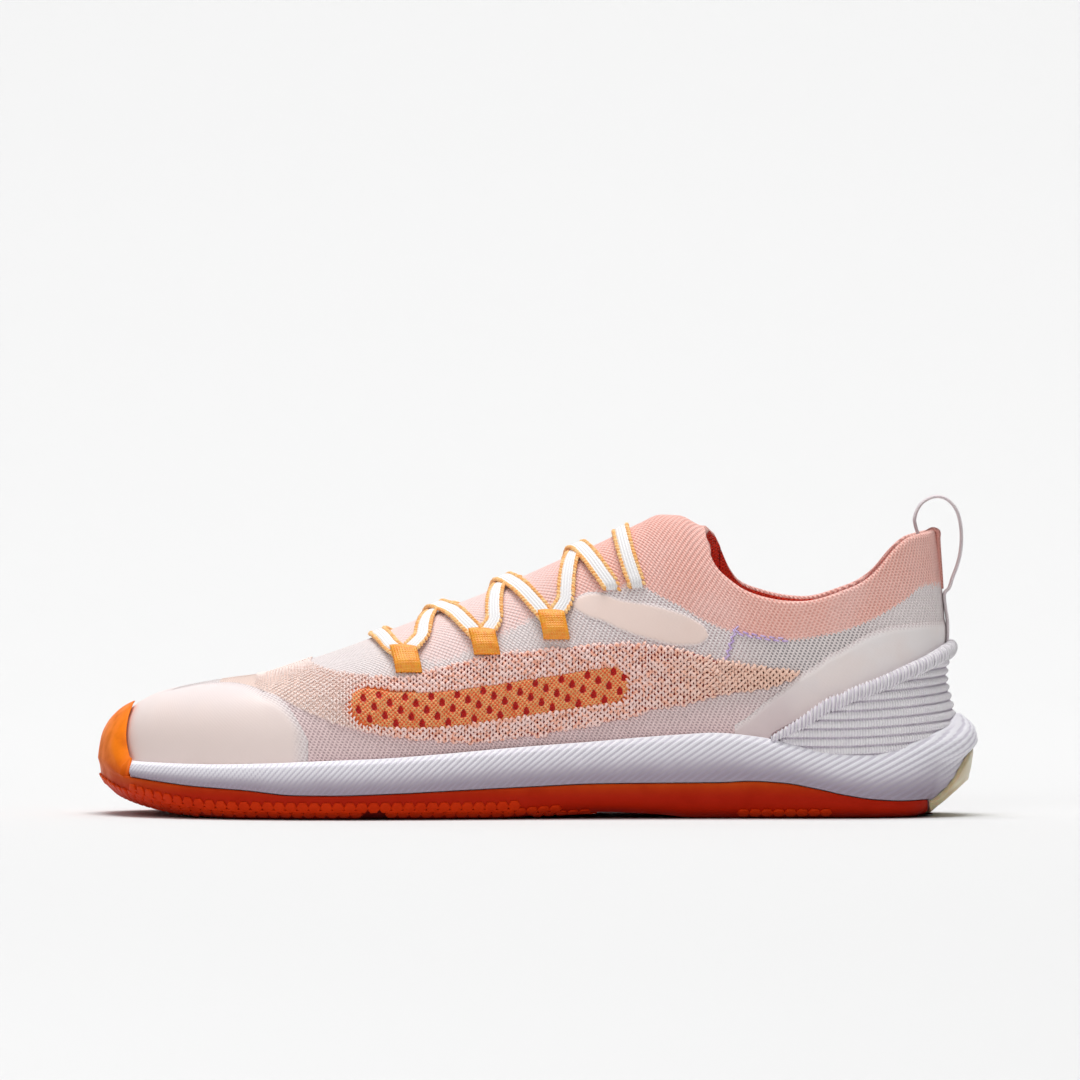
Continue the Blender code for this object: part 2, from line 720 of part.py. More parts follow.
def set_out(turn, row):
    """Overhang of a side profile's row, blended between side, heel and toe."""
    heel = heel_blend(turn)
    toe = toe_blend(turn)
    side = (1 - heel - toe) * row.side_out * SIDE_FLARE
    return side + heel * row.heel_out * HEEL_FLARE + toe * row.toe_out * TOE_BUMPER


def set_up(turn, row):
    """Height share of a side profile's row, blended in the same way."""
    heel = heel_blend(turn)
    toe = toe_blend(turn)
    return (1 - heel - toe) * row.side_up + heel * row.heel_up + toe * row.toe_up


def lip_inner(turn, side):
    """Inner edge of the rubber lip: its distance from the hub and its height."""
    distance = reach(turn, side)
    if turn >= BUMPER_START:
        return distance + 2 * FIT_GAP + TOE_WALL, wrap_height(turn, side)
    height = wrap_height(turn, side) + FIT_GAP * heel_blend(turn)
    return distance + set_out(turn, LIP) - LIP_WIDTH, height


def floor_corner(turn, side):
    """Distance from the hub to where the rubber's inner floor meets its wall."""
    heel = heel_blend(turn)
    toe = toe_blend(turn)
    out = (1 - heel - toe) * FLOOR_CORNER.side_out * SIDE_FLARE
    out += heel * FLOOR_CORNER.heel_out * HEEL_FLARE + toe * FLOOR_CORNER.toe_out * TOE_BUMPER
    return reach(turn, side) + out


def bumper_lines(turn, side):
    """Outer and inner points of the toe bumper, which stands on the rubber lip."""
    column = SKIN.column(turn, side)
    lip = wrap_height(turn, side)
    rim_clear = rim_height(turn, side) + 2 * FIT_GAP
    top = max(BUMPER_HEIGHT * smooth(BUMPER_TOP, "turn", "top")(turn), rim_clear)
    below_rim = 2 * FIT_GAP + TOE_WALL
    over_film = 2 * FIT_GAP + FILM_THICKNESS + BUMPER_EASE
    step_height = rim_clear + (below_rim - over_film)
    inner_lift = below_rim if top < step_height else over_film
    outer = []
    for row in BUMPER_SIDE:
        height = lip + row.rise * (top - lip)
        lift = max(row.lift * TOE_BUMPER, inner_lift + BUMPER_EDGE)
        if height < step_height:
            lift = max(lift, below_rim + BUMPER_EDGE)
        outer.append(column.at(column.share_at(height), lift))
    inner = []
    for row in reversed(BUMPER_SIDE):
        height = min(max(lip + row.rise * (top - lip), step_height), top)
        inner.append(column.at(column.share_at(height), inner_lift))
    inner.append(column.at(column.share_at(rim_clear), below_rim))
    return outer, inner


def outsole_profile(turn, side):
    """Half section of the rubber shell, from its underside round the lip to its inner floor."""
    distance = reach(turn, side)
    lip = wrap_height(turn, side)
    low = under(in_plan(turn, side, distance).x)
    middle = hub(turn)
    halfway = in_plan(turn, side, HALFWAY_SHARE * distance)
    line = [at_height(middle, under(middle.x)), at_height(halfway, under(halfway.x))]
    for row in RUBBER_SIDE:
        spot = in_plan(turn, side, distance + set_out(turn, row))
        share = set_up(turn, row)
        height = under(spot.x) if row is RUBBER_SIDE[0] else low + share * (lip - low)
        line.append(at_height(spot, height))
    lip_spot, lip_top = lip_inner(turn, side)
    inner_lip = at_height(in_plan(turn, side, lip_spot), lip_top)
    if turn > BUMPER_START:
        outer, inner = bumper_lines(turn, side)
    else:
        outer = [line[-1]] * len(BUMPER_SIDE)
        inner = [inner_lip] * (len(BUMPER_SIDE) + 1)
    corner = in_plan(turn, side, floor_corner(turn, side))
    line += outer + inner + [inner_lip]
    line.append(at_height(corner, under(corner.x) + OUTSOLE_FLOOR))
    line.append(at_height(halfway, under(halfway.x) + OUTSOLE_FLOOR))
    line.append(at_height(middle, under(middle.x) + OUTSOLE_FLOOR))
    return line


def midsole_profile(turn, side):
    """Half section of the foam cup, from its underside round the rim to the footbed."""
    middle = hub(turn)
    distance = reach(turn, side)
    halfway = in_plan(turn, side, HALFWAY_SHARE * distance)
    seat = OUTSOLE_FLOOR + FIT_GAP
    corner = in_plan(turn, side, floor_corner(turn, side) - FIT_GAP)
    lip_spot, lip_top = lip_inner(turn, side)
    line = [
        at_height(middle, under(middle.x) + seat),
        at_height(halfway, under(halfway.x) + seat),
        at_height(corner, under(corner.x) + seat),
        at_height(in_plan(turn, side, lip_spot - FIT_GAP), lip_top + FIT_GAP),
    ]
    line += foam_section(turn, side)
    column = SKIN.column(turn, side)
    rim = rim_height(turn, side)
    floor = footbed(in_plan(turn, side, distance).x)
    for share in INNER_RIM_ROWS:
        line.append(column.at(column.share_at(floor + share * (rim - floor)), FIT_GAP))
        line[-1].z = floor + share * (rim - floor)
    line.append(at_height(in_plan(turn, side, distance + FIT_GAP), floor))
    line.append(at_height(halfway, footbed(halfway.x)))
    line.append(at_height(middle, footbed(middle.x)))
    return line


def insole_profile(turn, side):
    """Half section of the insole, which lies on the footbed inside the upper."""
    middle = hub(turn)
    column = SKIN.column(turn, side)
    clear = -(UPPER_WALL + INSOLE_EASE)
    foot = column.at(0.0, clear)
    top = column.at(column.share_at(column.points[0].z + INSOLE_THICKNESS), clear)
    halfway = in_plan(turn, side, HALFWAY_SHARE * reach(turn, side))
    line = []
    for spot, lift in (
        (middle, 0.0), (halfway, 0.0), (foot, 0.0), (top, INSOLE_THICKNESS),
        (halfway, INSOLE_THICKNESS), (middle, INSOLE_THICKNESS),
    ):  # fmt: skip
        line.append(at_height(spot, footbed(spot.x) + INSOLE_LIFT + lift))
    return line


def both_sides(last_turn, surface, line_at):
    """Lines from the outer side round the heel to the inner side."""
    turns = surface.turns_between(0.0, last_turn)
    lines = [line_at(turn, LATERAL) for turn in reversed(turns)]
    return lines + [line_at(turn, MEDIAL) for turn in turns[1:]]


def add_upper():
    """One knitted wall, closed over the toe and instep and open at the collar and underneath."""
    mesh = bmesh.new()
    for side in SIDES:
        for before, after in zip(SKIN.turns, SKIN.turns[1:]):
            lines = SKIN.columns[before, side].points, SKIN.columns[after, side].points
            add_strip(mesh, *lines)
    bmesh.ops.remove_doubles(mesh, verts=mesh.verts, dist=1e-5)
    face_out(mesh)
    made = add_object("upper", mesh, PEACH, 0.85)
    wall = made.modifiers.new("wall", "SOLIDIFY")
    wall.thickness = UPPER_WALL
    wall.offset = -1.0
    wall.use_even_offset = True


def add_outsole():
    """Rubber shell with its side wrap and toe bumper, and a flex notch in each side."""
    outsole = add_ring("outsole", outsole_profile, SOLE_TURNS, ORANGE, 0.55)
    radius = ((NOTCH_WIDTH / 2) ** 2 + NOTCH_HEIGHT**2) / (2 * NOTCH_HEIGHT)
    for side in SIDES:
        turn = turn_at(NOTCH_ALONG)
        face = reach(turn, side) + LIP.side_out * SIDE_FLARE
        inner_end = in_plan(turn, side, face - NOTCH_DEPTH)
        length = SIDE_FLARE + NOTCH_DEPTH
        mesh = bmesh.new()
        bmesh.ops.create_cone(
            mesh, cap_ends=True, segments=NOTCH_FACETS, radius1=radius, radius2=radius,
            depth=length,
        )  # fmt: skip
        quarter = Matrix.Rotation(math.pi / 2, 3, "X")
        bmesh.ops.rotate(mesh, verts=mesh.verts, matrix=quarter)
        cutter = add_object(f"notch_cutter_{side}", mesh, ORANGE, 0.5, "cutters")
        middle = inner_end.y + side * length / 2
        cutter.location = (inner_end.x, middle, NOTCH_HEIGHT - radius)
        cutter.hide_render = True
        cutter.display_type = "WIRE"
        cut = outsole.modifiers.new("flex notch", "BOOLEAN")
        cut.operation = "DIFFERENCE"
        cut.object = cutter


def add_heel_pad():
    """Translucent rubber insert that wraps the back of the heel."""
    foam = Surface(foam_section, SOLE_TURNS)
    top_of = smooth(PAD_TOP, "turn", "top")

    def line_at(turn, side):
        column = foam.column(turn, side)
        top = column.share_at(RIM_HEIGHT * top_of(turn))
        return column.cut(0.0, top, FIT_GAP + PAD_EASE)

    lines = both_sides(PAD_TOP[-1].turn, foam, line_at)
    add_shell("heel_crash_pad", lines, PAD_THICKNESS, TAN, 0.35, shorter=True)


def add_cuff():
    """Ribbed knit over the back of the heel, from the foam rim to its rolled edge."""
    roll_of = smooth(ROLL, "turn", "height")

    def cuff_line(turn, side):
        column = SKIN.column(turn, side)
        low = column.share_at(rim_height(turn, side) + 2 * FIT_GAP)
        reach_up = (ROLL_WIDTH / 2 + FIT_GAP) / column.length
        high = column.share_at(HEEL_HEIGHT * roll_of(turn)) - reach_up
        return column.cut(low, max(high, low), FIT_GAP)

    lines = both_sides(ROLL_END, SKIN, cuff_line)
    add_shell("heel_cuff", lines, CUFF_THICKNESS, WHITE, 0.9)

    def roll_section(turn, side):
        column = SKIN.column(turn, side)
        middle = column.share_at(HEEL_HEIGHT * roll_of(turn))
        section = []
        for step in range(ROLL_FACETS):
            angle = 2 * math.pi / ROLL_FACETS * (step + 0.5)
            share = middle + math.cos(angle) * ROLL_WIDTH / 2 / column.length
            lift = FIT_GAP + ROLL_THICKNESS / 2 * (1 + math.sin(angle))
            section.append(column.at(share, lift))
        return section

    add_sweep("heel_cuff_roll", both_sides(ROLL_END, SKIN, roll_section), WHITE, 0.9)


def add_films():
    """Thin fused films on the toe, the heel and beside the top eyelets."""
    roll_of = smooth(ROLL, "turn", "height")
    heel_top = smooth(HEEL_FILM, "turn", "height")
    toe_top = smooth(TOE_FILM, "turn", "share")

    def heel_line(turn, side):
        column = SKIN.column(turn, side)
        rim = column.share_at(rim_height(turn, side) + 2 * FIT_GAP)
        reach_up = (ROLL_WIDTH / 2 + FIT_GAP) / column.length
        roll = column.share_at(HEEL_HEIGHT * roll_of(turn)) + reach_up
        low = max(rim, roll) if turn < ROLL[-1].turn else rim
        high = column.share_at(HEEL_HEIGHT * heel_top(turn))
        return column.cut(low, max(high, low), FIT_GAP)

    lines = both_sides(HEEL_FILM[-1].turn, SKIN, heel_line)
    add_shell("heel_film", lines, FILM_THICKNESS, FILM_GREY, 0.45)

    def toe_line(turn, side):
        column = SKIN.column(turn, side)
        low = column.share_at(rim_height(turn, side) + 2 * FIT_GAP)
        return column.cut(low, max(toe_top(turn), low), FIT_GAP)

    turns = SKIN.turns_between(TOE_FILM[0].turn, 3.0, TOE_FILM_TURNS)
    lines = [toe_line(turn, LATERAL) for turn in turns]
    lines += [toe_line(turn, MEDIAL) for turn in reversed(turns[:-1])]
    add_shell("toe_film", lines, FILM_THICKNESS, FILM_PINK, 0.45)

    low_of = smooth(EYESTAY, "along", "low")
    high_of = smooth(EYESTAY, "along", "high")
    for name, side in (("lateral", LATERAL), ("medial", MEDIAL)):
        lines = []
        first = turn_at(EYESTAY[0].along)
        for turn in SKIN.turns_between(first, turn_at(EYESTAY[-1].along)):
            column = SKIN.column(turn, side)
            along = hub_along(turn)
            low = column.share_at(INSTEP_HEIGHT * low_of(along))
            high = column.share_at(INSTEP_HEIGHT * high_of(along))
            lines.append(column.cut(low, high, FIT_GAP))
        add_shell(f"eyestay_film_{name}", lines, FILM_THICKNESS, FILM_PINK, 0.45)


def tape_loop(column, low, high, floor, roof, chamfer):
    """A closed line over the upper between two shares and two lifts, bevelled at its top."""
    shoulder = floor + TAB_SHOULDER * (roof - floor)
    third = (high - low) / 3
    return [
        column.at(low, floor), column.at(low, shoulder), column.at(low + chamfer, roof),
        column.at(high - chamfer, roof), column.at(high, shoulder), column.at(high, floor),
        column.at(high - third, floor), column.at(low + third, floor),
    ]  # fmt: skip


def add_tab(name, row, side):
    """A loop of tape sewn flat to the upper, with a channel for the lace through it."""
    outer_top = FIT_GAP + 2 * TAB_TAPE + TAB_CHANNEL
    half_turn = TAB_WIDTH / 2 / UPPER_LENGTH / (TOE_START - WAIST_START)
    mesh = bmesh.new()
    loops = []
    for shift in (-half_turn, 0.0, half_turn):
        column = SKIN.column(turn_at(row.along) + shift, side)
        low = column.share_at(INSTEP_HEIGHT * row.low)
        high = column.share_at(INSTEP_HEIGHT * row.high)
        tape = TAB_TAPE / column.length
        chamfer = TAB_BEVEL * outer_top / column.length
        outer = tape_loop(column, low, high, FIT_GAP, outer_top, chamfer)
        floor = FIT_GAP + TAB_TAPE
        roof = outer_top - TAB_TAPE
        inner = tape_loop(column, low + 2 * tape, high - tape, floor, roof, chamfer)
        loops.append((outer, inner))
    for before, after in zip(loops, loops[1:]):
        for start, end in zip(before, after):
            add_strip(mesh, start, end, closed=True)
    for outer, inner in (loops[0], loops[-1]):
        add_strip(mesh, outer, inner, closed=True)
    add_solid(name, mesh, TAPE_ORANGE, 0.5)


def on_girth(along, girth, lift):
    """Point of the upper at a signed share of the way from its crest down to the footbed."""
    column = SKIN.column(turn_at(along), MEDIAL if girth > 0 else LATERAL)
    return column.at(1 - abs(girth), lift)


def laid_on(point, lift):
    """The point laid down on the upper at its own place along the shoe."""
    along = along_of(point.x)
    side = MEDIAL if point.y > spine_across(along) * BALL_WIDTH else LATERAL
    column = SKIN.column(turn_at(along), side)
    return column.at(column.nearest_share(point), lift)


def girth_at(along, height, side):
    column = SKIN.column(turn_at(along), side)
    return side * (1 - column.share_at(INSTEP_HEIGHT * height))


def lace_sections(row, start_side, over):
    """Sections of one flat strand laid over the instep from one side to the other."""
    start = girth_at(row.start_along, row.start_height, start_side)
    end = girth_at(row.end_along, row.end_height, -start_side)
    column = SKIN.column(turn_at(row.ridge_along), LATERAL)
    up = math.ceil(abs(start) * column.length / LACE_STEP)
    down = math.ceil(abs(end) * column.length / LACE_STEP)
    girths = [start * (1 - step / up) for step in range(up)]
    girths += [end * step / down for step in range(down + 1)]
    middle = []
    for girth in girths:
        by_start = girth * (girth - end) / (start * (start - end))
        by_end = girth * (girth - start) / (end * (end - start))
        by_ridge = 1 - by_start - by_end
        along = row.start_along * by_start + row.end_along * by_end + row.ridge_along * by_ridge
        away = abs(girth) * column.length / (2 * LACE_WIDTH)
        climb = over * 0.5 * (1 + math.cos(math.pi * min(away, 1.0)))
        middle.append((along, girth, FIT_GAP + LACE_EASE + climb))
    sections = []
    for i, (along, girth, lift) in enumerate(middle):
        floor = on_girth(along, girth, lift)
        roof = on_girth(along, girth, lift + LACE_THICKNESS)
        before = on_girth(*middle[max(i - 1, 0)])
        after = on_girth(*middle[min(i + 1, up + down)])
        across = (roof - floor).cross(after - before).normalized() * LACE_WIDTH / 2
        near, far = floor - across, floor + across
        over_it = lift + LACE_THICKNESS
        sections.append([
            laid_on(near, lift), laid_on(far, lift), laid_on(far, over_it), laid_on(near, over_it),
        ])  # fmt: skip
    return sections


def add_laces():
    """Flat lace: bars and crossings over the instep that stop at the tabs and top eyelets."""
    for row in LACES:
        lace = add_sweep(row.name, lace_sections(row, LATERAL, 0.0), CREAM, 0.8)
        if not row.crossed:
            continue
        sections = lace_sections(row, MEDIAL, CROSSING_CLIMB * LACE_THICKNESS)
        other = add_sweep(f"{row.name}_over", sections, CREAM, 0.8)
        move_to_cutters(other)
        join = lace.modifiers.new("crossing", "BOOLEAN")
        join.operation = "UNION"
        join.object = other


def move_to_cutters(made):
    bpy.data.collections["shoe"].objects.unlink(made)
    bpy.data.collections["cutters"].objects.link(made)
    made.hide_render = True
    made.display_type = "WIRE"


def add_pull_loop():
    """Ribbon from inside the heel over the collar, and down the back as a flat tape."""
    column = SKIN.column(0.0, LATERAL)
    edge = column.points[-1]
    half = LOOP_THICKNESS / 2
    inside = -(UPPER_WALL + FIT_GAP + LOOP_EASE + half)
    outside = 2 * FIT_GAP + FILM_THICKNESS + half + FIT_GAP
    points = [column.at(column.share_at(HEEL_HEIGHT * up), inside) for up in LOOP_INNER_LEG]
    for row in LOOP:
        shift = Vector((row.back * LOOP_REACH, 0.0, row.up * LOOP_RISE))
        points.append(edge + shift)
    points += [column.at(column.share_at(HEEL_HEIGHT * up), outside) for up in LOOP_TAPE]
    for point in points:
        point.y = edge.y
    line = rounded(points, LOOP_STEPS, closed=False)
    sections = []
    for i, point in enumerate(line):
        run = line[min(i + 1, len(line) - 1)] - line[max(i - 1, 0)]
        thick = Vector((-run.z, 0.0, run.x)).normalized() * half
        wide = Vector((0.0, LOOP_WIDTH / 2, 0.0))
        sections.append([
            point - thick - wide, point - thick + wide, point + thick + wide,
            point + thick - wide,
        ])  # fmt: skip
    add_sweep("pull_loop", sections, RIBBON_GREY, 0.8)


def clear_scene():
    for obj in list(bpy.data.objects):
        bpy.data.objects.remove(obj, do_unlink=True)
    for name in ("shoe", "cutters"):
        collection = bpy.data.collections.new(name)
        bpy.context.scene.collection.children.link(collection)


UPPER_TURNS = sorted(
    {*HEEL_TURNS, *TOE_TURNS, *(turn_at(along) for along in SOLE_ALONGS + UPPER_ALONGS)}
)
SOLE_TURNS = sorted({*HEEL_TURNS, *TOE_TURNS, *(turn_at(along) for along in SOLE_ALONGS)})
clear_scene()
SKIN = Surface(skin_section, UPPER_TURNS)
add_upper()
add_outsole()
add_ring("midsole", midsole_profile, SOLE_TURNS, WHITE, 0.6)
add_ring("insole", insole_profile, SOLE_TURNS, LINING_RED, 0.9)
add_heel_pad()
add_cuff()
add_films()
for tab in TABS:
    add_tab(f"lace_tab_lateral_{tab.name}", tab, LATERAL)
    add_tab(f"lace_tab_medial_{tab.name}", tab, MEDIAL)
add_laces()
add_pull_loop()
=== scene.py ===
"""Barefoot training shoe for the left foot: the knit, films, ribs, tread and laces.

Every piece follows the same sections as the part's source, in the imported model's frame: +X is the
heel, -Y the outer side and +Z up, in metres. "Along" is a share of the upper's length from its
back, and a "turn" of 0 to 1 goes round the heel, 1 to 2 along the shoe and 2 to 3 round the toe.
"""

import functools
import math
from collections import namedtuple

import bmesh
import bpy
import numpy as np
from mathutils import Matrix, Vector


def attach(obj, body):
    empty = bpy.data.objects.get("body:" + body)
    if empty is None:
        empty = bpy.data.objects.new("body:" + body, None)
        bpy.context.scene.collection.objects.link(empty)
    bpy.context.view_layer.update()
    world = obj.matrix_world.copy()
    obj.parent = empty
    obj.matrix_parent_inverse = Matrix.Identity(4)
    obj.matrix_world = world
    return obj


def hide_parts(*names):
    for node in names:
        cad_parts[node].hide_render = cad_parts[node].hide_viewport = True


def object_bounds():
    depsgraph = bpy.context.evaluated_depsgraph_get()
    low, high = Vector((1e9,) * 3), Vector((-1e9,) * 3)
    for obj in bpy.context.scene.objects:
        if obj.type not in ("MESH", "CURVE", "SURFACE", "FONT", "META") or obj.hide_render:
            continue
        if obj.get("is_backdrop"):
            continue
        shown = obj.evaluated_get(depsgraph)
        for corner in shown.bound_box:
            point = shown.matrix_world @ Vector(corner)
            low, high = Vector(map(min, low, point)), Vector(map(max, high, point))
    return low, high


bl_info = {
    "name": "Barefoot training shoe",
    "version": (1, 0, 0),
    "blender": (4, 5, 0),
    "location": "View3D > Sidebar > Shoe",
    "description": "Dresses the packed solids of a knitted training shoe",
    "category": "Object",
}

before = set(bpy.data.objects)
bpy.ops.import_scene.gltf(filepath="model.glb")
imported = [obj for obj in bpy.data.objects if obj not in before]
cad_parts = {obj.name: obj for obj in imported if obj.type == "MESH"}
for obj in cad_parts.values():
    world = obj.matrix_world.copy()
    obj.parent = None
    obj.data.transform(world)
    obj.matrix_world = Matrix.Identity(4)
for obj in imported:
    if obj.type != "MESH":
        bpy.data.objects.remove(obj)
CAD_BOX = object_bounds()

UPPER_LENGTH = 0.2565
HEEL_FLARE = 0.0082
TOE_BUMPER = 0.0052
BALL_WIDTH = 0.088
SIDE_FLARE = 0.0045
INSTEP_HEIGHT = 0.0922
HEEL_HEIGHT = 0.0885
RIM_HEIGHT = 0.0262
WRAP_HEIGHT = 0.0114
TOE_SPRING = 0.0065
ARCH_RISE = 0.0018
FOOTBED_HEIGHT = 0.0085
FOOTBED_SPRING = 0.7
FIT_GAP = 0.0003
UPPER_WALL = 0.0018
OUTSOLE_FLOOR = 0.003
LIP_WIDTH = 0.0019
TOE_WALL = 0.0012
BUMPER_HEIGHT = 0.033
BUMPER_EDGE = 0.0006
BUMPER_EASE = 0.0003
PAD_THICKNESS = 0.0013
INSOLE_THICKNESS = 0.003
FILM_THICKNESS = 0.0005
CUFF_THICKNESS = 0.002
ROLL_WIDTH = 0.0043
ROLL_THICKNESS = 0.0035
NOTCH_WIDTH = 0.012
NOTCH_HEIGHT = 0.0035
WAIST_DENT = 0.0025
WAIST_HEIGHT = 0.475
WAIST_SPREAD = 0.1
TAB_WIDTH = 0.008
TAB_TAPE = 0.0006
TAB_CHANNEL = 0.0018
TAB_LEAN = 0.0095
LOOP_WIDTH = 0.009
LOOP_THICKNESS = 0.001
LOOP_RISE = 0.0107
LOOP_REACH = 0.0073
LOOP_EASE = 0.0008
HEEL_HUB = 0.105
WAIST_START = 0.135
TOE_START = 0.82
TOE_HUB = 0.885
THROAT_START = 0.296
NOTCH_ALONG = 0.685
BUMPER_START = 2.6
HALFWAY_SHARE = 0.45
ROLL_END = 1.12

CAMERA_DISTANCE = 4.0
CAMERA_RISE = math.radians(1.0)
CAMERA_AIM = (0.0008, 0.0, 0.0843)
PIXEL = 0.0003068

LATERAL = -1
MEDIAL = 1
SIDES = (LATERAL, MEDIAL)
BACK_X = (HEEL_FLARE + UPPER_LENGTH + TOE_BUMPER) / 2 - HEEL_FLARE
SECTION_STEPS = 96
SKIN_ROWS = 72
HIDDEN_STEP = 6
VENT_STEP = 0.00028
VENT_LIFT = 0.0011
HOLE_DEPTH = 0.00085
VENT_ROOT = 0.0010
VENT_EDGE = 0.0012
KNOT_CLEARANCE = 0.0002
KNOTS_END_X = -0.086
LOWEST_SIDE_PAD = 0.0013
INSOLE_GAP = 0.0004


def table(columns, *rows):
    """A short table: each row is a named tuple of the columns."""
    row_type = namedtuple("Row", columns)
    return [row_type(*row) for row in rows]


OUTLINE = table(
    "along across",
    (0.0, -0.02), (0.012, -0.17), (0.045, -0.275), (0.10, -0.335), (0.18, -0.36),
    (0.30, -0.365), (0.42, -0.385), (0.54, -0.43), (0.64, -0.475), (0.72, -0.495),
    (0.80, -0.475), (0.87, -0.41), (0.93, -0.295), (0.975, -0.13), (1.0, 0.12),
    (0.985, 0.30), (0.94, 0.42), (0.88, 0.475), (0.80, 0.495), (0.72, 0.48),
    (0.64, 0.42), (0.54, 0.33), (0.44, 0.275), (0.34, 0.265), (0.22, 0.285),
    (0.12, 0.29), (0.05, 0.235), (0.012, 0.13),
)  # fmt: skip
TIP = OUTLINE[14]
SPINE = table(
    "along across",
    (0.0, -0.02), (0.14, -0.035), (0.40, -0.055), (0.64, -0.03), (0.82, 0.03),
    (0.885, 0.06), (1.0, 0.12),
)  # fmt: skip
SECTIONS = table(
    "along crest side top",
    (0.105, 1.48, 0.80, 1.00), (0.18, 1.30, 0.82, 1.00), (0.24, 1.09, 0.88, 1.00),
    (0.275, 0.985, 0.92, 1.00), (0.296, 0.963, 0.95, 0.98), (0.324, 0.997, 0.95, 0.96),
    (0.347, 1.00, 0.95, 0.95), (0.371, 0.973, 0.95, 0.94), (0.419, 0.907, 0.95, 0.92),
    (0.467, 0.850, 0.93, 0.90), (0.515, 0.790, 0.90, 0.87), (0.563, 0.733, 0.87, 0.84),
    (0.611, 0.680, 0.83, 0.80), (0.659, 0.627, 0.78, 0.75), (0.707, 0.574, 0.73, 0.69),
    (0.755, 0.527, 0.68, 0.63), (0.803, 0.484, 0.62, 0.56), (0.820, 0.470, 0.62, 0.54),
    (0.842, 0.457, 0.74, 0.54), (0.862, 0.442, 0.92, 0.55), (0.885, 0.427, 1.10, 0.56),
)  # fmt: skip
COLLAR = table(
    "along edge",
    (0.020, 0.985), (0.031, 0.974), (0.049, 0.958), (0.059, 0.954), (0.065, 0.938),
    (0.076, 0.887), (0.089, 0.845), (0.106, 0.803), (0.142, 0.765), (0.169, 0.739),
    (0.201, 0.739), (0.221, 0.751), (0.245, 0.771), (0.260, 0.800), (0.272, 0.828),
    (0.284, 0.869), (0.290, 0.921), (0.295, 1.000),
)  # fmt: skip
COLLAR_INNER = table(
    "along edge",
    *[tuple(row) for row in COLLAR[:13]],
    (0.260, 0.805), (0.272, 0.880), (0.284, 0.968), (0.290, 0.989), (0.295, 1.003),
)  # fmt: skip
RIM = table(
    "along top",
    (-0.034, 1.256), (-0.004, 1.221), (0.0126, 1.053), (0.028, 0.981), (0.046, 0.901),
    (0.0736, 0.798), (0.0987, 0.737), (0.131, 0.744), (0.166, 0.802), (0.198, 0.878),
    (0.229, 0.950), (0.285, 1.0), (0.3236, 0.981), (0.3726, 0.947), (0.4276, 0.901),
    (0.4827, 0.863), (0.5377, 0.821), (0.6107, 0.760), (0.6824, 0.710), (0.7422, 0.687),
    (0.8128, 0.656), (0.888, 0.637), (0.961, 0.645), (1.0, 0.660),
)  # fmt: skip
WRAP = table(
    "along top",
    (0.0, 0.105), (0.011, 0.123), (0.020, 0.158), (0.027, 0.23), (0.034, 0.474),
    (0.0676, 0.456), (0.0987, 0.50), (0.13, 0.623), (0.161, 0.781), (0.2016, 0.947),
    (0.2434, 1.0), (0.2757, 0.965), (0.4193, 0.939), (0.515, 0.851), (0.611, 0.746),
    (0.659, 0.693), (0.742, 0.640), (0.784, 0.649), (0.839, 0.772), (0.898, 0.868),
    (0.955, 1.026), (0.9778, 1.105), (0.992, 1.263), (1.0, 1.316),
)  # fmt: skip
UNDERSIDE = table(
    "along spring arch",
    (-0.04, 0.0, 0.0), (0.30, 0.0, 0.0), (0.36, 0.0, 0.65), (0.42, 0.0, 1.0),
    (0.48, 0.0, 0.65), (0.55, 0.0, 0.0), (0.85, 0.0, 0.0), (0.90, 0.09, 0.0),
    (0.945, 0.34, 0.0), (0.97, 0.55, 0.0), (0.99, 0.80, 0.0), (1.0, 1.0, 0.0),
    (1.02, 1.54, 0.0),
)  # fmt: skip
RUBBER_SIDE = table(
    "side_out side_up heel_out heel_up toe_out toe_up",
    (-1.55, 0.0, -1.71, 0.0, -0.12, 0.0),
    (-0.50, 0.03, -1.46, 0.30, 0.35, 0.22),
    (0.35, 0.25, -1.28, 0.60, 0.60, 0.40),
    (0.80, 0.60, -1.17, 0.85, 0.83, 0.565),
    (0.88, 1.0, -1.10, 1.0, 0.96, 1.0),
)  # fmt: skip
FOAM_SIDE = table(
    "drop side_out heel_out",
    (0.0, 0.45, 0.35), (0.15, 0.80, 0.90), (0.28, 0.88, 1.0), (0.41, 0.94, 0.71),
    (0.58, 1.0, 0.60), (0.70, 0.985, 0.35), (0.81, 0.97, -0.065), (0.915, 0.92, -0.52),
    (1.0, 0.88, -1.05),
)  # fmt: skip
BLEND = table(
    "turn heel toe",
    (0.0, 1.0, 0.0), (0.12, 1.0, 0.0), (0.25, 0.85, 0.0), (0.37, 0.50, 0.0),
    (0.5, 0.12, 0.0), (0.66, 0.0, 0.0), (2.0, 0.0, 0.0), (2.34, 0.0, 0.25),
    (2.6, 0.0, 0.60), (2.82, 0.0, 0.90), (3.0, 0.0, 1.0),
)  # fmt: skip
FLOOR_CORNER = table("side_out heel_out toe_out", (0.05, -1.6, 0.1))[0]
BUMPER_TOP = table(
    "turn top",
    (2.6, 0.50), (2.615, 0.53), (2.67, 0.67), (2.75, 0.87), (2.86, 0.97), (3.0, 1.0),
)  # fmt: skip
BUMPER_SIDE = table(
    "rise lift",
    (0.12, 1.06), (0.3, 1.0), (0.5, 0.93), (0.68, 0.78), (0.82, 0.62), (0.92, 0.50),
    (1.0, 0.36),
)  # fmt: skip
BINDING_OVER = table("x z", (-0.0040, -0.0016), (-0.0024, -0.0001), (-0.0009, 0.0006))
BINDING_DOWN = table(
    "up lift", (0.98, 0.0006), (0.955, 0.0003), (0.90, 0.0), (0.84, -0.0002), (0.785, -0.0004)
)
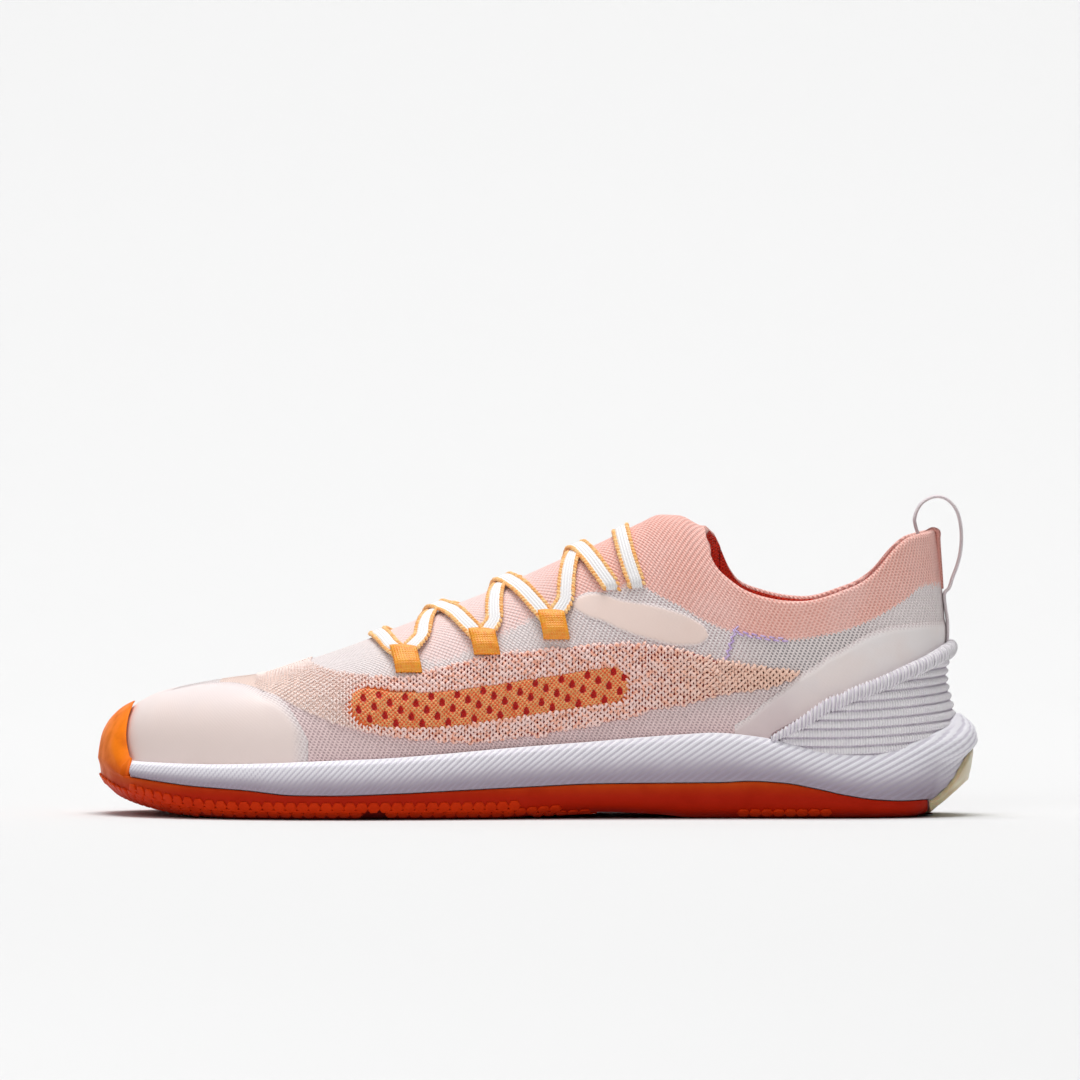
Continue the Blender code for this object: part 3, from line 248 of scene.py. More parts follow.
BEAD = table(
    "x wide tall height",
    (-0.66, 0.10, 0.10, 0), (-0.42, 0.33, 0.36, 0), (0.0, 0.44, 0.48, 0), (0.42, 0.33, 0.36, 0),
    (0.66, 0.10, 0.10, 0),
)  # fmt: skip
STITCH = table(
    "x wide tall height",
    (-0.5, 0.08, 0.06, -0.02), (-0.32, 0.16, 0.14, 0.06), (0.32, 0.16, 0.14, 0.06),
    (0.5, 0.08, 0.06, -0.02),
)  # fmt: skip
INSOLE_LINE = table(
    "share lift",
    (0.0, 0.0), (0.45, 0.0), (1.0, 0.0), (1.0, 0.9), (0.96, 1.0), (0.8, 0.94), (0.45, 0.9),
    (0.0, 0.9),
)  # fmt: skip
PAD_TOP = table(
    "turn top",
    (0.0, 0.786), (0.12, 0.760), (0.25, 0.60), (0.37, 0.31), (0.46, 0.17),
)  # fmt: skip
ROLL = table(
    "turn height",
    (0.0, 0.582), (0.25, 0.564), (0.5, 0.519), (0.75, 0.461), (1.008, 0.398),
    (1.067, 0.328), (1.118, 0.273),
)  # fmt: skip
HEEL_FILM = table(
    "turn height",
    (0.0, 0.678), (0.25, 0.676), (0.63, 0.664), (0.753, 0.649), (0.843, 0.629),
    (0.93, 0.603), (1.008, 0.575), (1.038, 0.533), (1.0675, 0.498), (1.10, 0.445),
    (1.1286, 0.4045), (1.158, 0.3525), (1.1825, 0.322),
)  # fmt: skip
TOE_FILM = table(
    "turn share",
    (1.92, 0.22), (1.95, 0.36), (1.98, 0.46), (2.05, 0.56), (2.2, 0.66), (2.4, 0.70),
    (2.7, 0.70), (3.0, 0.73),
)  # fmt: skip
EYESTAY = table(
    "along low high",
    (0.290, 0.596, 0.604), (0.296, 0.578, 0.640), (0.307, 0.566, 0.660), (0.325, 0.566, 0.684),
    (0.360, 0.586, 0.710), (0.396, 0.618, 0.726), (0.416, 0.645, 0.744), (0.430, 0.656, 0.747),
    (0.442, 0.672, 0.738), (0.453, 0.692, 0.712),
)  # fmt: skip
TABS = table(
    "name along low high",
    ("front", 0.653, 0.481, 0.558),
    ("middle", 0.5604, 0.539, 0.617),
    ("back", 0.478, 0.589, 0.680),
)  # fmt: skip
LACES = table(
    "name start_along start_height ridge_along end_along end_height",
    ("lace_bar_front", 0.6680, 0.562, 0.6840, 0.6680, 0.562),
    ("lace_cross_front", 0.6300, 0.592, 0.6130, 0.5790, 0.640),
    ("lace_cross_middle", 0.5440, 0.646, 0.5330, 0.4960, 0.706),
    ("lace_cross_back", 0.4600, 0.712, 0.4450, 0.4060, 0.765),
    ("lace_bar_top", 0.3760, 0.774, 0.3930, 0.3760, 0.774),
)  # fmt: skip
LOOP = table(
    "back up",
    (-0.84, 0.14), (-0.85, 0.50), (-0.59, 0.82), (-0.16, 0.99), (0.25, 1.0),
    (0.62, 0.85), (0.90, 0.58), (1.04, 0.22), (1.08, -0.2), (1.02, -0.63),
    (0.88, -1.0), (0.70, -1.32), (0.565, -1.6),
)  # fmt: skip
LOOP_INNER_LEG = (0.80, 0.88)
LOOP_TAPE = (0.765, 0.72, 0.68, 0.64, 0.60)

# The coarse open band of the knit, its edges as shares of INSTEP_HEIGHT, and the vent in it
BAND = table(
    "along low high",
    (0.1835, 0.484, 0.485), (0.2037, 0.444, 0.497), (0.2251, 0.428, 0.501),
    (0.2453, 0.418, 0.507), (0.2655, 0.411, 0.517), (0.2820, 0.402, 0.526),
    (0.3249, 0.372, 0.560), (0.3557, 0.359, 0.571), (0.3914, 0.329, 0.579),
    (0.4282, 0.310, 0.573), (0.4649, 0.294, 0.563), (0.4910, 0.274, 0.556),
    (0.5373, 0.265, 0.544), (0.5740, 0.249, 0.524), (0.6095, 0.259, 0.498),
    (0.6568, 0.270, 0.465), (0.6828, 0.280, 0.469), (0.7100, 0.296, 0.478),
    (0.7373, 0.319, 0.490), (0.7634, 0.348, 0.515), (0.7837, 0.374, 0.60),
    (0.8054, 0.406, 0.65), (0.8418, 0.433, 0.65), (0.8744, 0.438, 0.65),
)  # fmt: skip
VENT = table(
    "along middle",
    (0.37, 0.452), (0.4198, 0.436), (0.4673, 0.416), (0.5148, 0.397), (0.5622, 0.378),
    (0.6095, 0.363), (0.6569, 0.360), (0.7042, 0.380), (0.72, 0.390),
)  # fmt: skip
VENT_START = 0.385
VENT_END = 0.716

# Lower edge of the collar's knit and of the throat's, as shares of INSTEP_HEIGHT
COLLAR_SEAM = table(
    "along height",
    (0.0, 0.79), (0.0262, 0.784), (0.0569, 0.720), (0.1109, 0.639), (0.1467, 0.609),
    (0.1942, 0.590), (0.2594, 0.615), (0.3009, 0.661), (0.3246, 0.701), (0.3484, 0.734),
    (0.3721, 0.780), (0.388, 0.90), (0.40, 1.06),
)  # fmt: skip
THROAT_SEAM = table(
    "along height",
    (0.388, 0.77), (0.4435, 0.729), (0.4673, 0.714), (0.5148, 0.638), (0.5623, 0.573),
    (0.6097, 0.522), (0.66, 0.55), (0.70, 0.60), (0.73, 0.66),
)  # fmt: skip
# Height that the upper pattern of the knit is counted from, as a share of INSTEP_HEIGHT
PATTERN_LINE = table(
    "along height",
    (0.0, 0.784), (0.0569, 0.720), (0.1109, 0.639), (0.1942, 0.590), (0.2594, 0.615),
    (0.3246, 0.690), (0.3721, 0.720), (0.4435, 0.690), (0.5148, 0.60), (0.6097, 0.50),
    (0.72, 0.42), (0.85, 0.36), (1.0, 0.32),
)  # fmt: skip


def curve(rows, key, value):
    """A function through one column of a table, with no overshoot between its rows."""
    places = np.array([getattr(row, key) for row in rows], float)
    values = np.array([getattr(row, value) for row in rows], float)
    steps = np.diff(places)
    slopes = np.diff(values) / steps
    before, after = slopes[:-1], slopes[1:]
    rising_on = before * after > 0
    total = np.where(rising_on, before + after, 1.0)
    inner = np.where(rising_on, 2 * before * after / total, 0.0)
    tangents = np.concatenate((slopes[:1], inner, slopes[-1:]))

    def at(place):
        place = np.clip(place, places[0], places[-1])
        i = np.clip(np.searchsorted(places, place, side="right") - 1, 0, len(steps) - 1)
        t = (place - places[i]) / steps[i]
        start = (1 + 2 * t) * (1 - t) ** 2 * values[i] + t**2 * (3 - 2 * t) * values[i + 1]
        lean = t * (1 - t) ** 2 * tangents[i] - t**2 * (1 - t) * tangents[i + 1]
        return start + lean * steps[i]

    return at


def rounded(points, steps, closed=False):
    """A smooth line through the points, with a number of steps between each two."""
    points = np.asarray(points, float)
    count = len(points)
    line = []
    for i in range(count if closed else count - 1):
        if closed:
            around = [(i + k) % count for k in (-1, 0, 1, 2)]
        else:
            around = [min(max(i + k, 0), count - 1) for k in (-1, 0, 1, 2)]
        before, start, end, after = points[around]
        for t in np.arange(steps) / steps:
            line.append(
                0.5 * (2 * start + (end - before) * t
                + (2 * before - 5 * start + 4 * end - after) * t**2
                + (3 * start - before - 3 * end + after) * t**3)
            )  # fmt: skip
    if not closed:
        line.append(points[-1])
    return np.array(line)


spine_across = curve(SPINE, "along", "across")
crest_of = curve(SECTIONS, "along", "crest")
side_power = curve(SECTIONS, "along", "side")
top_power = curve(SECTIONS, "along", "top")
collar_of = {LATERAL: curve(COLLAR, "along", "edge"), MEDIAL: curve(COLLAR_INNER, "along", "edge")}
rim_of = curve(RIM, "along", "top")
wrap_of = curve(WRAP, "along", "top")
spring_of = curve(UNDERSIDE, "along", "spring")
arch_of = curve(UNDERSIDE, "along", "arch")
heel_blend = curve(BLEND, "turn", "heel")
toe_blend = curve(BLEND, "turn", "toe")
foam_side_out = curve(FOAM_SIDE, "drop", "side_out")
foam_heel_out = curve(FOAM_SIDE, "drop", "heel_out")
bumper_top_of = curve(BUMPER_TOP, "turn", "top")
roll_of = curve(ROLL, "turn", "height")
FOOTPRINT = rounded(
    [(BACK_X - row.along * UPPER_LENGTH, row.across * BALL_WIDTH) for row in OUTLINE], 10, True
)
FOOTPRINT_EDGES = np.roll(FOOTPRINT, -1, axis=0) - FOOTPRINT


def along_of(x):
    return (BACK_X - x) / UPPER_LENGTH


def turn_at(along):
    return 1 + (along - WAIST_START) / (TOE_START - WAIST_START)


def hub_along(turn):
    if turn <= 1:
        return HEEL_HUB + (WAIST_START - HEEL_HUB) * turn
    if turn <= 2:
        return WAIST_START + (TOE_START - WAIST_START) * (turn - 1)
    return TOE_START + (TOE_HUB - TOE_START) * (turn - 2)


@functools.cache
def hub(turn):
    along = hub_along(turn)
    return np.array((BACK_X - along * UPPER_LENGTH, float(spine_across(along)) * BALL_WIDTH))


@functools.cache
def way(turn, side):
    quarter = math.pi / 2
    angle = quarter * min(turn, 1.0)
    if turn > 2:
        run = (TIP.along - TOE_HUB) * UPPER_LENGTH
        aim = math.atan2(TIP.across * BALL_WIDTH - hub(3)[1], run)
        angle = quarter + (quarter - side * aim) * (turn - 2)
    return np.array((math.cos(angle), side * math.sin(angle)))


@functools.cache
def reach(turn, side):
    """Distance in plan from the hub to the upper's outline."""
    heading, away = way(turn, side), FOOTPRINT - hub(turn)
    lean = heading[0] * FOOTPRINT_EDGES[:, 1] - heading[1] * FOOTPRINT_EDGES[:, 0]
    lean = np.where(np.abs(lean) < 1e-12, 1e-12, lean)
    distance = (away[:, 0] * FOOTPRINT_EDGES[:, 1] - away[:, 1] * FOOTPRINT_EDGES[:, 0]) / lean
    share = (away[:, 0] * heading[1] - away[:, 1] * heading[0]) / lean
    met = (distance > 0) & (share >= -1e-9) & (share <= 1 + 1e-9)
    return float(distance[met].min())


def in_plan(turn, side, distance):
    return hub(turn) + way(turn, side) * distance


def spot_at(turn, side, distance, height):
    x, y = in_plan(turn, side, distance)
    return np.array((x, y, float(height)))


def under(x):
    along = along_of(x)
    return TOE_SPRING * spring_of(along) + ARCH_RISE * arch_of(along)


def footbed(x):
    return FOOTBED_HEIGHT + FOOTBED_SPRING * TOE_SPRING * spring_of(along_of(x))


def rim_height(turn, side):
    return RIM_HEIGHT * float(rim_of(along_of(in_plan(turn, side, reach(turn, side))[0])))


def wrap_height(turn, side):
    return WRAP_HEIGHT * float(wrap_of(along_of(in_plan(turn, side, reach(turn, side))[0])))


def resampled(points, count):
    """As many points again, evenly spaced along a line."""
    lengths = np.concatenate(([0.0], np.cumsum(np.linalg.norm(np.diff(points, axis=0), axis=1))))
    targets = np.linspace(0.0, lengths[-1], count)
    return np.column_stack([np.interp(targets, lengths, points[:, k]) for k in range(3)])


def skin_section(turn, side):
    """The upper's outer face at a turn, from the footbed to the collar or the crest."""
    along = hub_along(turn)
    distance = reach(turn, side)
    base = footbed(in_plan(turn, side, distance)[0]) + FIT_GAP
    crest = INSTEP_HEIGHT * crest_of(along)
    fade = math.cos(math.pi / 2 * turn) ** 2 if turn < 1 else 0.0
    angle = math.pi / 4 * (1 - np.cos(np.pi * np.linspace(0, 1, SECTION_STEPS + 1)))
    height = base + (crest - base) * np.sin(angle) ** top_power(along)
    inward = (height / HEEL_HEIGHT - WAIST_HEIGHT) / WAIST_SPREAD
    out = distance * np.maximum(np.cos(angle), 0.0) ** side_power(along)
    out = np.maximum(out - WAIST_DENT * fade * np.exp(-(inward**2)), 0.0)
    points = np.column_stack((hub(turn) + out[:, None] * way(turn, side), height))
    alongs = along_of(points[:, 0])
    ease = 0.014 * min(max((THROAT_START - along) / 0.06, 0.0), 1.0)
    near = [collar_of[side](alongs + ease * step) for step in (-1, -0.5, 0, 0.5, 1)]
    edge = HEEL_HEIGHT * np.mean(near, axis=0)
    if side == MEDIAL:
        edge = edge + 0.0014 * np.exp(-(((alongs - 0.235) / 0.055) ** 2))
    over = height - edge
    beyond = np.nonzero(over > 0)[0]
    if along < THROAT_START - 1e-6 and len(beyond):
        i = beyond[0]
        t = -over[i - 1] / (over[i] - over[i - 1])
        last = points[i - 1] + t * (points[i] - points[i - 1])
        points = np.vstack((points[:i], last))
    return resampled(points, SKIN_ROWS)


def unit(vectors):
    return vectors / np.maximum(np.linalg.norm(vectors, axis=-1, keepdims=True), 1e-12)


class Surface:
    """A face of the shoe as a dense grid: columns by turn, each with rows from low to high."""

    def __init__(self, section, turns):
        self.turns = np.array(turns)
        self.points = {side: np.array([section(turn, side) for turn in turns]) for side in SIDES}
        self.rows = self.points[LATERAL].shape[1]
        self.normals = {}
        for side, grid in self.points.items():
            on, up = np.gradient(grid, axis=0), np.gradient(grid, axis=1)
            self.normals[side] = unit(np.cross(up, on)) * -side
        outer, inner = self.normals[LATERAL], self.normals[MEDIAL]
        shared = np.linalg.norm(self.points[LATERAL] - self.points[MEDIAL], axis=-1) < 1e-6
        both = unit(outer + inner)
        outer[shared] = both[shared]
        inner[shared] = both[shared]
        around = [in_plan(turn, LATERAL, reach(turn, LATERAL)) for turn in turns]
        steps = np.linalg.norm(np.diff(around, axis=0), axis=1)
        self.perimeter = np.concatenate(([0.0], np.cumsum(steps)))

    def lengths(self, side):
        """Length of each column from its lowest row to every row."""
        steps = np.linalg.norm(np.diff(self.points[side], axis=1), axis=-1)
        return np.concatenate((np.zeros((len(steps), 1)), np.cumsum(steps, axis=1)), axis=1)

    def blended(self, grid, turn, share):
        i = np.clip(np.searchsorted(self.turns, turn, side="right") - 1, 0, len(self.turns) - 2)
        t = ((turn - self.turns[i]) / (self.turns[i + 1] - self.turns[i]))[..., None]
        spot = np.clip(share, 0.0, 1.0) * (self.rows - 1)
        j = np.minimum(spot.astype(int), self.rows - 2)
        s = (spot - j)[..., None]
        low = grid[i, j] * (1 - t) + grid[i + 1, j] * t
        high = grid[i, j + 1] * (1 - t) + grid[i + 1, j + 1] * t
        return low * (1 - s) + high * s

    def normal(self, turn, side, share):
        turn, share = np.broadcast_arrays(np.asarray(turn, float), np.asarray(share, float))
        return unit(self.blended(self.normals[side], turn, share))

    def at(self, turn, side, share, lift=0.0):
        """Points at shares of the columns' length, lifted off the face."""
        given = [np.asarray(value, float) for value in (turn, share, lift)]
        turn, share, lift = np.broadcast_arrays(*given)
        return self.blended(self.points[side], turn, share) + unit(
            self.blended(self.normals[side], turn, share)
        ) * lift[..., None]

    def column(self, turn, side):
        shares = np.linspace(0.0, 1.0, self.rows)
        return self.at(np.full(self.rows, turn), side, shares), shares

    def share_at(self, turn, side, height):
        """The share at which a column reaches a height."""
        points, shares = self.column(turn, side)
        return float(np.interp(height, np.maximum.accumulate(points[:, 2]), shares))

    def length(self, turn, side):
        points, _ = self.column(turn, side)
        return float(np.linalg.norm(np.diff(points, axis=0), axis=1).sum())

    def across(self, turn):
        """Distance round the outline from the back of the heel."""
        return np.interp(turn, self.turns, self.perimeter)


def spaced_turns(heel, straight, toe, more=()):
    turns = [*more]
    for start, count in enumerate((heel, straight, toe)):
        turns += [*np.linspace(start, start + 1, count + 1)]
    return sorted({round(float(turn), 6) for turn in turns})


THROAT_TURN = turn_at(THROAT_START)
CLIMB_TURNS = [turn_at(along) for along in np.arange(0.250, 0.2962, 0.002)]
UPPER_TURNS = spaced_turns(44, 120, 56, (*CLIMB_TURNS, THROAT_TURN))
SKIN = Surface(skin_section, UPPER_TURNS)


# ---- meshes ----


def add_mesh(name, points, faces, materials, uv=None, marks=None, face_material=None):
    """A smooth piece from points and faces, with a UV map and marks kept for its material."""
    data = bpy.data.meshes.new(name)
    data.from_pydata(np.asarray(points).tolist(), [], faces)
    for material in materials:
        data.materials.append(material)
    corners = np.zeros(len(data.loops), np.int32)
    data.loops.foreach_get("vertex_index", corners)
    for map_name, values in (uv or {}).items():
        layer = data.uv_layers.new(name=map_name)
        layer.data.foreach_set("uv", np.asarray(values, np.float32)[corners].ravel())
    for mark, values in (marks or {}).items():
        attribute = data.attributes.new(mark, "FLOAT", "POINT")
        attribute.data.foreach_set("value", np.asarray(values, np.float32).ravel())
    if face_material is not None:
        data.polygons.foreach_set("material_index", np.asarray(face_material, np.int32))
    mesh = bmesh.new()
    mesh.from_mesh(data)
    bmesh.ops.remove_doubles(mesh, verts=mesh.verts, dist=1e-6)
    bmesh.ops.dissolve_degenerate(mesh, dist=1e-7, edges=mesh.edges)
    bmesh.ops.recalc_face_normals(mesh, faces=mesh.faces)
    if mesh.calc_volume(signed=True) < 0:
        bmesh.ops.reverse_faces(mesh, faces=mesh.faces)
    mesh.to_mesh(data)
    mesh.free()
    data.shade_smooth()
    made = bpy.data.objects.new(name, data)
    bpy.context.scene.collection.objects.link(made)
    return made


def grid_faces(columns, rows, closed=False, start=0):
    """Faces of a grid that is stored column by column."""
    last = rows if closed else rows - 1
    faces = []
    for i in range(columns - 1):
        for j in range(last):
            a, b = start + i * rows + j, start + i * rows + (j + 1) % rows
            faces.append((a, b, b + rows, a + rows))
    return faces


def add_loft(name, loops, material, uv=None, marks=None, caps=True):
    """A closed solid through closed loops of as many points, with flat or pinched ends."""
    loops = np.asarray(loops)
    columns, rows = loops.shape[:2]
    faces = grid_faces(columns, rows, closed=True)
    if caps:
        faces.append(tuple(range(rows)))
        faces.append(tuple(reversed(range((columns - 1) * rows, columns * rows))))
    flat_uv = {key: np.asarray(values).reshape(-1, 2) for key, values in (uv or {}).items()}
    flat_marks = {key: np.asarray(values).reshape(-1) for key, values in (marks or {}).items()}
    return add_mesh(name, loops.reshape(-1, 3), faces, [material], flat_uv, flat_marks)


def finish_piece(made, slot, *nodes):
    """Makes a piece ride on the shoe and hides the CAD nodes that it stands for; its slot is not used."""
    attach(made, "root")
    if nodes:
        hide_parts(*nodes)
    return made


def skin_sandwich(turns, side_at, low_at, high_at, roof, rows, edge, taper_low=False, end_at=None):
    """Closed loops of a thin layer laid on the upper, thinner along its edges."""
    shares = np.linspace(0.0, 1.0, rows)
    floor = -0.0003
    loops, spread, soft = [], [], []
    for turn, side in zip(turns, side_at):
        low, high = low_at(turn, side), high_at(turn, side)
        high = max(high, low + 1e-4)
        length = SKIN.length(turn, side)
        across = low + (high - low) * shares
        depth = np.minimum((across - low) * length if taper_low else 1.0, (high - across) * length)
        depth = np.minimum(depth, end_at(turn)) if end_at else depth
        swell = np.clip(depth / edge, 0.0, 1.0)
        lift = 0.00008 + (roof - 0.00008) * swell * swell * (3 - 2 * swell)
        outer = SKIN.at(turn, side, across, lift)
        inner = SKIN.at(turn, side, across[::-1][1:-1], floor)
        loops.append(np.vstack((outer, inner)))
        run = side * SKIN.across(turn)
        rise = np.concatenate((across, across[::-1][1:-1])) * length
        spread.append(np.column_stack((np.full(len(rise), run), rise)))
        soft.append(np.concatenate((swell, swell[::-1][1:-1])))
    return np.array(loops), np.array(spread), np.array(soft)


# ---- materials ----


def linear(color):
    """Scene-linear values of a colour picked on screen."""
    return tuple(c / 12.92 if c <= 0.04045 else ((c + 0.055) / 1.055) ** 2.4 for c in color)


class Shade:
    """Short calls that build the node tree of one material."""

    def __init__(self, name, roughness, **sockets):
        self.material = bpy.data.materials.new(name)
        self.material.use_nodes = True
        self.tree = self.material.node_tree
        self.shader = self.tree.nodes["Principled BSDF"]
        self.shader.inputs["Roughness"].default_value = roughness
        for socket, value in sockets.items():
            self.shader.inputs[socket.replace("_", " ")].default_value = value

    def node(self, kind, **settings):
        made = self.tree.nodes.new(kind)
        for key, value in settings.items():
            setattr(made, key, value)
        return made

    def feed(self, socket, value):
        if isinstance(value, bpy.types.NodeSocket):
            self.tree.links.new(value, socket)
        elif isinstance(value, tuple) and len(value) == 3 and socket.type == "RGBA":
            socket.default_value = (*value, 1.0)
        else:
            socket.default_value = value

    def math(self, operation, *values):
        made = self.node("ShaderNodeMath", operation=operation)
        for socket, value in zip(made.inputs, values):
            self.feed(socket, value)
        return made.outputs[0]

    def step(self, value, low, high, start=0.0, end=1.0):
        made = self.node("ShaderNodeMapRange", interpolation_type="SMOOTHSTEP")
        for socket, given in zip(made.inputs, (value, low, high, start, end)):
            self.feed(socket, given)
        return made.outputs[0]

    def mix(self, share, low, high):
        made = self.node("ShaderNodeMix", data_type="RGBA")
        self.feed(made.inputs[0], share)
        self.feed(made.inputs[6], low)
        self.feed(made.inputs[7], high)
        return made.outputs[2]

    def mark(self, name):
        return self.node("ShaderNodeAttribute", attribute_name=name).outputs["Fac"]

    def spread(self, name):
        """The two lengths of a UV map, in metres."""
        split = self.node("ShaderNodeSeparateXYZ")
        source = self.node("ShaderNodeUVMap", uv_map=name)
        self.tree.links.new(source.outputs[0], split.inputs[0])
        return split.outputs[0], split.outputs[1]

    def place(self):
        split = self.node("ShaderNodeSeparateXYZ")
        self.tree.links.new(self.node("ShaderNodeTexCoord").outputs["Object"], split.inputs[0])
        return split.outputs

    def noise(self, scale, detail=3.0, name=None):
        made = self.node("ShaderNodeTexNoise")
        if name:
            self.feed(made.inputs["Vector"], self.node("ShaderNodeUVMap", uv_map=name).outputs[0])
        else:
            self.feed(made.inputs["Vector"], self.node("ShaderNodeTexCoord").outputs["Object"])
        made.inputs["Scale"].default_value = scale
        made.inputs["Detail"].default_value = detail
        return made.outputs[0]

    def wave(self, length, pitch, shift=0.0):
        """A sine of a length with a pitch, from -1 to 1."""
        turn = self.math("MULTIPLY_ADD", length, math.tau / pitch, shift)
        return self.math("SINE", turn)

    def lattice(self, across, up, pitch_across, pitch_up):
        """Raised and sunk spots in turn, like the stitches of a knit."""
        return self.math("MULTIPLY", self.wave(across, pitch_across), self.wave(up, pitch_up))

    def color(self, value):
        self.feed(self.shader.inputs["Base Color"], value)

    def rough(self, value):
        self.feed(self.shader.inputs["Roughness"], value)

    def bump(self, height, distance, strength=1.0):
        made = self.node("ShaderNodeBump")
        made.inputs["Strength"].default_value = strength
        made.inputs["Distance"].default_value = distance
        self.feed(made.inputs["Height"], height)
        self.tree.links.new(made.outputs[0], self.shader.inputs["Normal"])


def tint(name):
    """A colour from the panel, in scene-linear values."""
    return linear(getattr(bpy.context.scene.shoe_colours, name))


def size(name):
    return getattr(bpy.context.scene.shoe_sizes, name)


@functools.cache
def knit_material():
    """The bootie's knit: fine stitches, the coarse band's ground, the collar and the throat."""
    s = Shade("knit", 0.85, Sheen_Weight=0.15, Sheen_Roughness=0.6)
    across, rise = s.spread("rise")
    across_fall, fall = s.spread("fall")
    x, y, z = s.place()
    noise = s.noise(900.0)
    blotch = s.noise(60.0)
    pitch = size("stitch_pitch")
    slant = s.math("MULTIPLY_ADD", rise, 0.45, across)
    fine = s.lattice(slant, rise, pitch, pitch * 1.15)
    hole = s.step(s.math("MULTIPLY_ADD", s.math("SUBTRACT", noise, 0.5), 0.5, fine), -0.05, -0.5)
    low = s.step(rise, 0.036, 0.018)
    # Painted shade: under the collar at the heel the stitch gaps are painted near black, for the dark inside seen
    # through them.
    gap_shade_zone = s.math("MULTIPLY", s.step(x, 0.058, 0.075), s.step(rise, 0.026, 0.034))
    gap_shade_zone = s.math("MULTIPLY", gap_shade_zone, s.step(x, 0.106, 0.094))
    at_toe = s.math("MULTIPLY", s.step(x, 0.03, -0.02), s.step(z, 0.036, 0.044))
    at_toe = s.math("MAXIMUM", at_toe, s.step(x, -0.08, -0.1))
    at_toe = s.math("MAXIMUM", at_toe, s.math("MULTIPLY", s.step(x, 0.098, 0.112), 0.8))
    pale = s.mix(low, tint("knit_white"), tint("knit_lilac"))
    gap = s.mix(gap_shade_zone, tint("knit_shadow"), tint("knit_gap"))
    share = s.math("MULTIPLY", hole, s.math("MULTIPLY_ADD", at_toe, -0.6, 0.72))
    white = s.mix(share, pale, gap)
    dots = s.lattice(s.math("MULTIPLY_ADD", fall, 0.35, across_fall), fall, pitch, pitch * 1.25)
    dot = s.step(s.math("MULTIPLY_ADD", s.math("SUBTRACT", noise, 0.5), 0.5, dots), 0.05, -0.6)
    salmon = s.mix(s.math("MULTIPLY", dot, 0.75), tint("collar"), tint("collar_dot"))
    salmon = s.mix(s.step(blotch, 0.35, 0.75, 0.0, 0.3), salmon, tint("throat"))
    weave = s.lattice(across_fall, fall, pitch * 0.8, pitch * 0.8)
    speck = s.step(s.math("MULTIPLY_ADD", noise, 0.9, weave), 0.2, 0.9)
    pink = s.mix(s.math("MULTIPLY", speck, 0.6), tint("throat"), tint("knit_white"))
    pink = s.mix(s.step(x, 0.035, -0.02), tint("collar"), pink)
    dotted = s.math("MULTIPLY", dot, s.step(x, -0.03, 0.03, 0.1, 0.6))
    pink = s.mix(dotted, pink, tint("collar_dot"))
    toward_toe = s.step(x, -0.03, -0.062)
    ground = s.mix(toward_toe, tint("band_ground"), tint("band_pale"))
    toward_heel = s.step(x, 0.045, 0.075)
    ground = s.mix(toward_heel, ground, tint("band_heel"))
    ground = s.mix(s.step(s.mark("vent"), -0.0022, -0.0004), ground, tint("vent_shade"))
    collar = s.step(s.math("MULTIPLY_ADD", dots, 0.0006, s.mark("collar")), -0.0003, 0.0003)
    ragged = s.math("MULTIPLY_ADD", s.math("SUBTRACT", noise, 0.5), 0.006, s.mark("throat"))
    throat = s.step(ragged, -0.0012, 0.0012)
    band = s.step(s.mark("band"), 0.0, 0.0008)
    color = s.mix(throat, white, pink)
    color = s.mix(collar, color, salmon)
    color = s.mix(band, color, ground)
    s.color(color)
    relief = s.math("MULTIPLY_ADD", fine, 0.5, s.math("MULTIPLY", noise, 0.3))
    upper_relief = s.math("MULTIPLY_ADD", dots, 0.5, s.math("MULTIPLY", noise, 0.3))
    top = s.math("MAXIMUM", collar, throat)
    low_relief = s.math("MULTIPLY", relief, s.math("SUBTRACT", 1.0, top))
    s.bump(s.math("MULTIPLY_ADD", upper_relief, top, low_relief), 0.0004, 1.0)
    return s.material


@functools.cache
def lining_material():
    """The soft knitted lining."""
    s = Shade("lining", 0.9, Sheen_Weight=0.3)
    across, rise = s.spread("rise")
    weave = s.lattice(across, rise, 0.0016, 0.0013)
    noise = s.noise(700.0)
    low = s.step(s.math("MULTIPLY_ADD", noise, 0.5, weave), 0.3, -0.5)
    s.color(s.mix(low, tint("lining"), tint("lining_shade")))
    s.bump(weave, 0.0003, 0.8)
    return s.material


@functools.cache
def yarn_material(name, light, dark, toe, heel):
    """Thick yarn of the coarse band, paler at the toe and warmer at the heel."""
    s = Shade(name, 0.8, Sheen_Weight=0.2)
    x, y, z = s.place()
    noise = s.noise(750.0)
    base = s.mix(s.step(noise, 0.45, 0.62), tint(light), tint(dark))
    base = s.mix(s.step(x, -0.035, -0.075), base, tint(toe))
    base = s.mix(s.step(x, 0.028, 0.07), base, tint(heel))
    s.color(base)
    s.bump(s.noise(2500.0), 0.0002, 0.6)
    return s.material


@functools.cache
def film_material(name, shade_name, low_name):
    """A fused satin film whose edges fade into the knit around it, with one colour above and another below; the heel
    film's lower colour is darker as painted shade.
    """
    s = Shade(name, 0.45, Specular_IOR_Level=0.4)
    across, rise = s.spread("rise")
    pitch = size("stitch_pitch")
    weave = s.lattice(s.math("MULTIPLY_ADD", rise, 0.45, across), rise, pitch, pitch * 1.15)
    noise = s.noise(45.0)
    # Colour by height: an upper and a lower colour; on the heel film the lower one is painted shade.
    high = s.step(s.math("MULTIPLY_ADD", noise, 0.03, rise), 0.030, 0.058)
    base = s.mix(high, tint(low_name), tint(shade_name))
    base = s.mix(s.step(noise, 0.42, 0.68, 0.0, 0.5), base, tint("film_warm"))
    soft = s.step(s.mark("soft"), 0.9, 0.05)
    dot = s.math("MULTIPLY", s.step(weave, -0.05, -0.5, 0.0, 0.45), soft)
    base = s.mix(soft, base, tint("knit_white"))
    s.color(s.mix(dot, base, tint("knit_shadow")))
    s.rough(s.step(soft, 0.0, 1.0, 0.4, 0.8))
    faint = s.math("MULTIPLY", weave, 0.15)
    s.bump(s.math("MULTIPLY_ADD", s.math("MULTIPLY", weave, soft), 1.5, faint), 0.0001, 0.8)
    return s.material


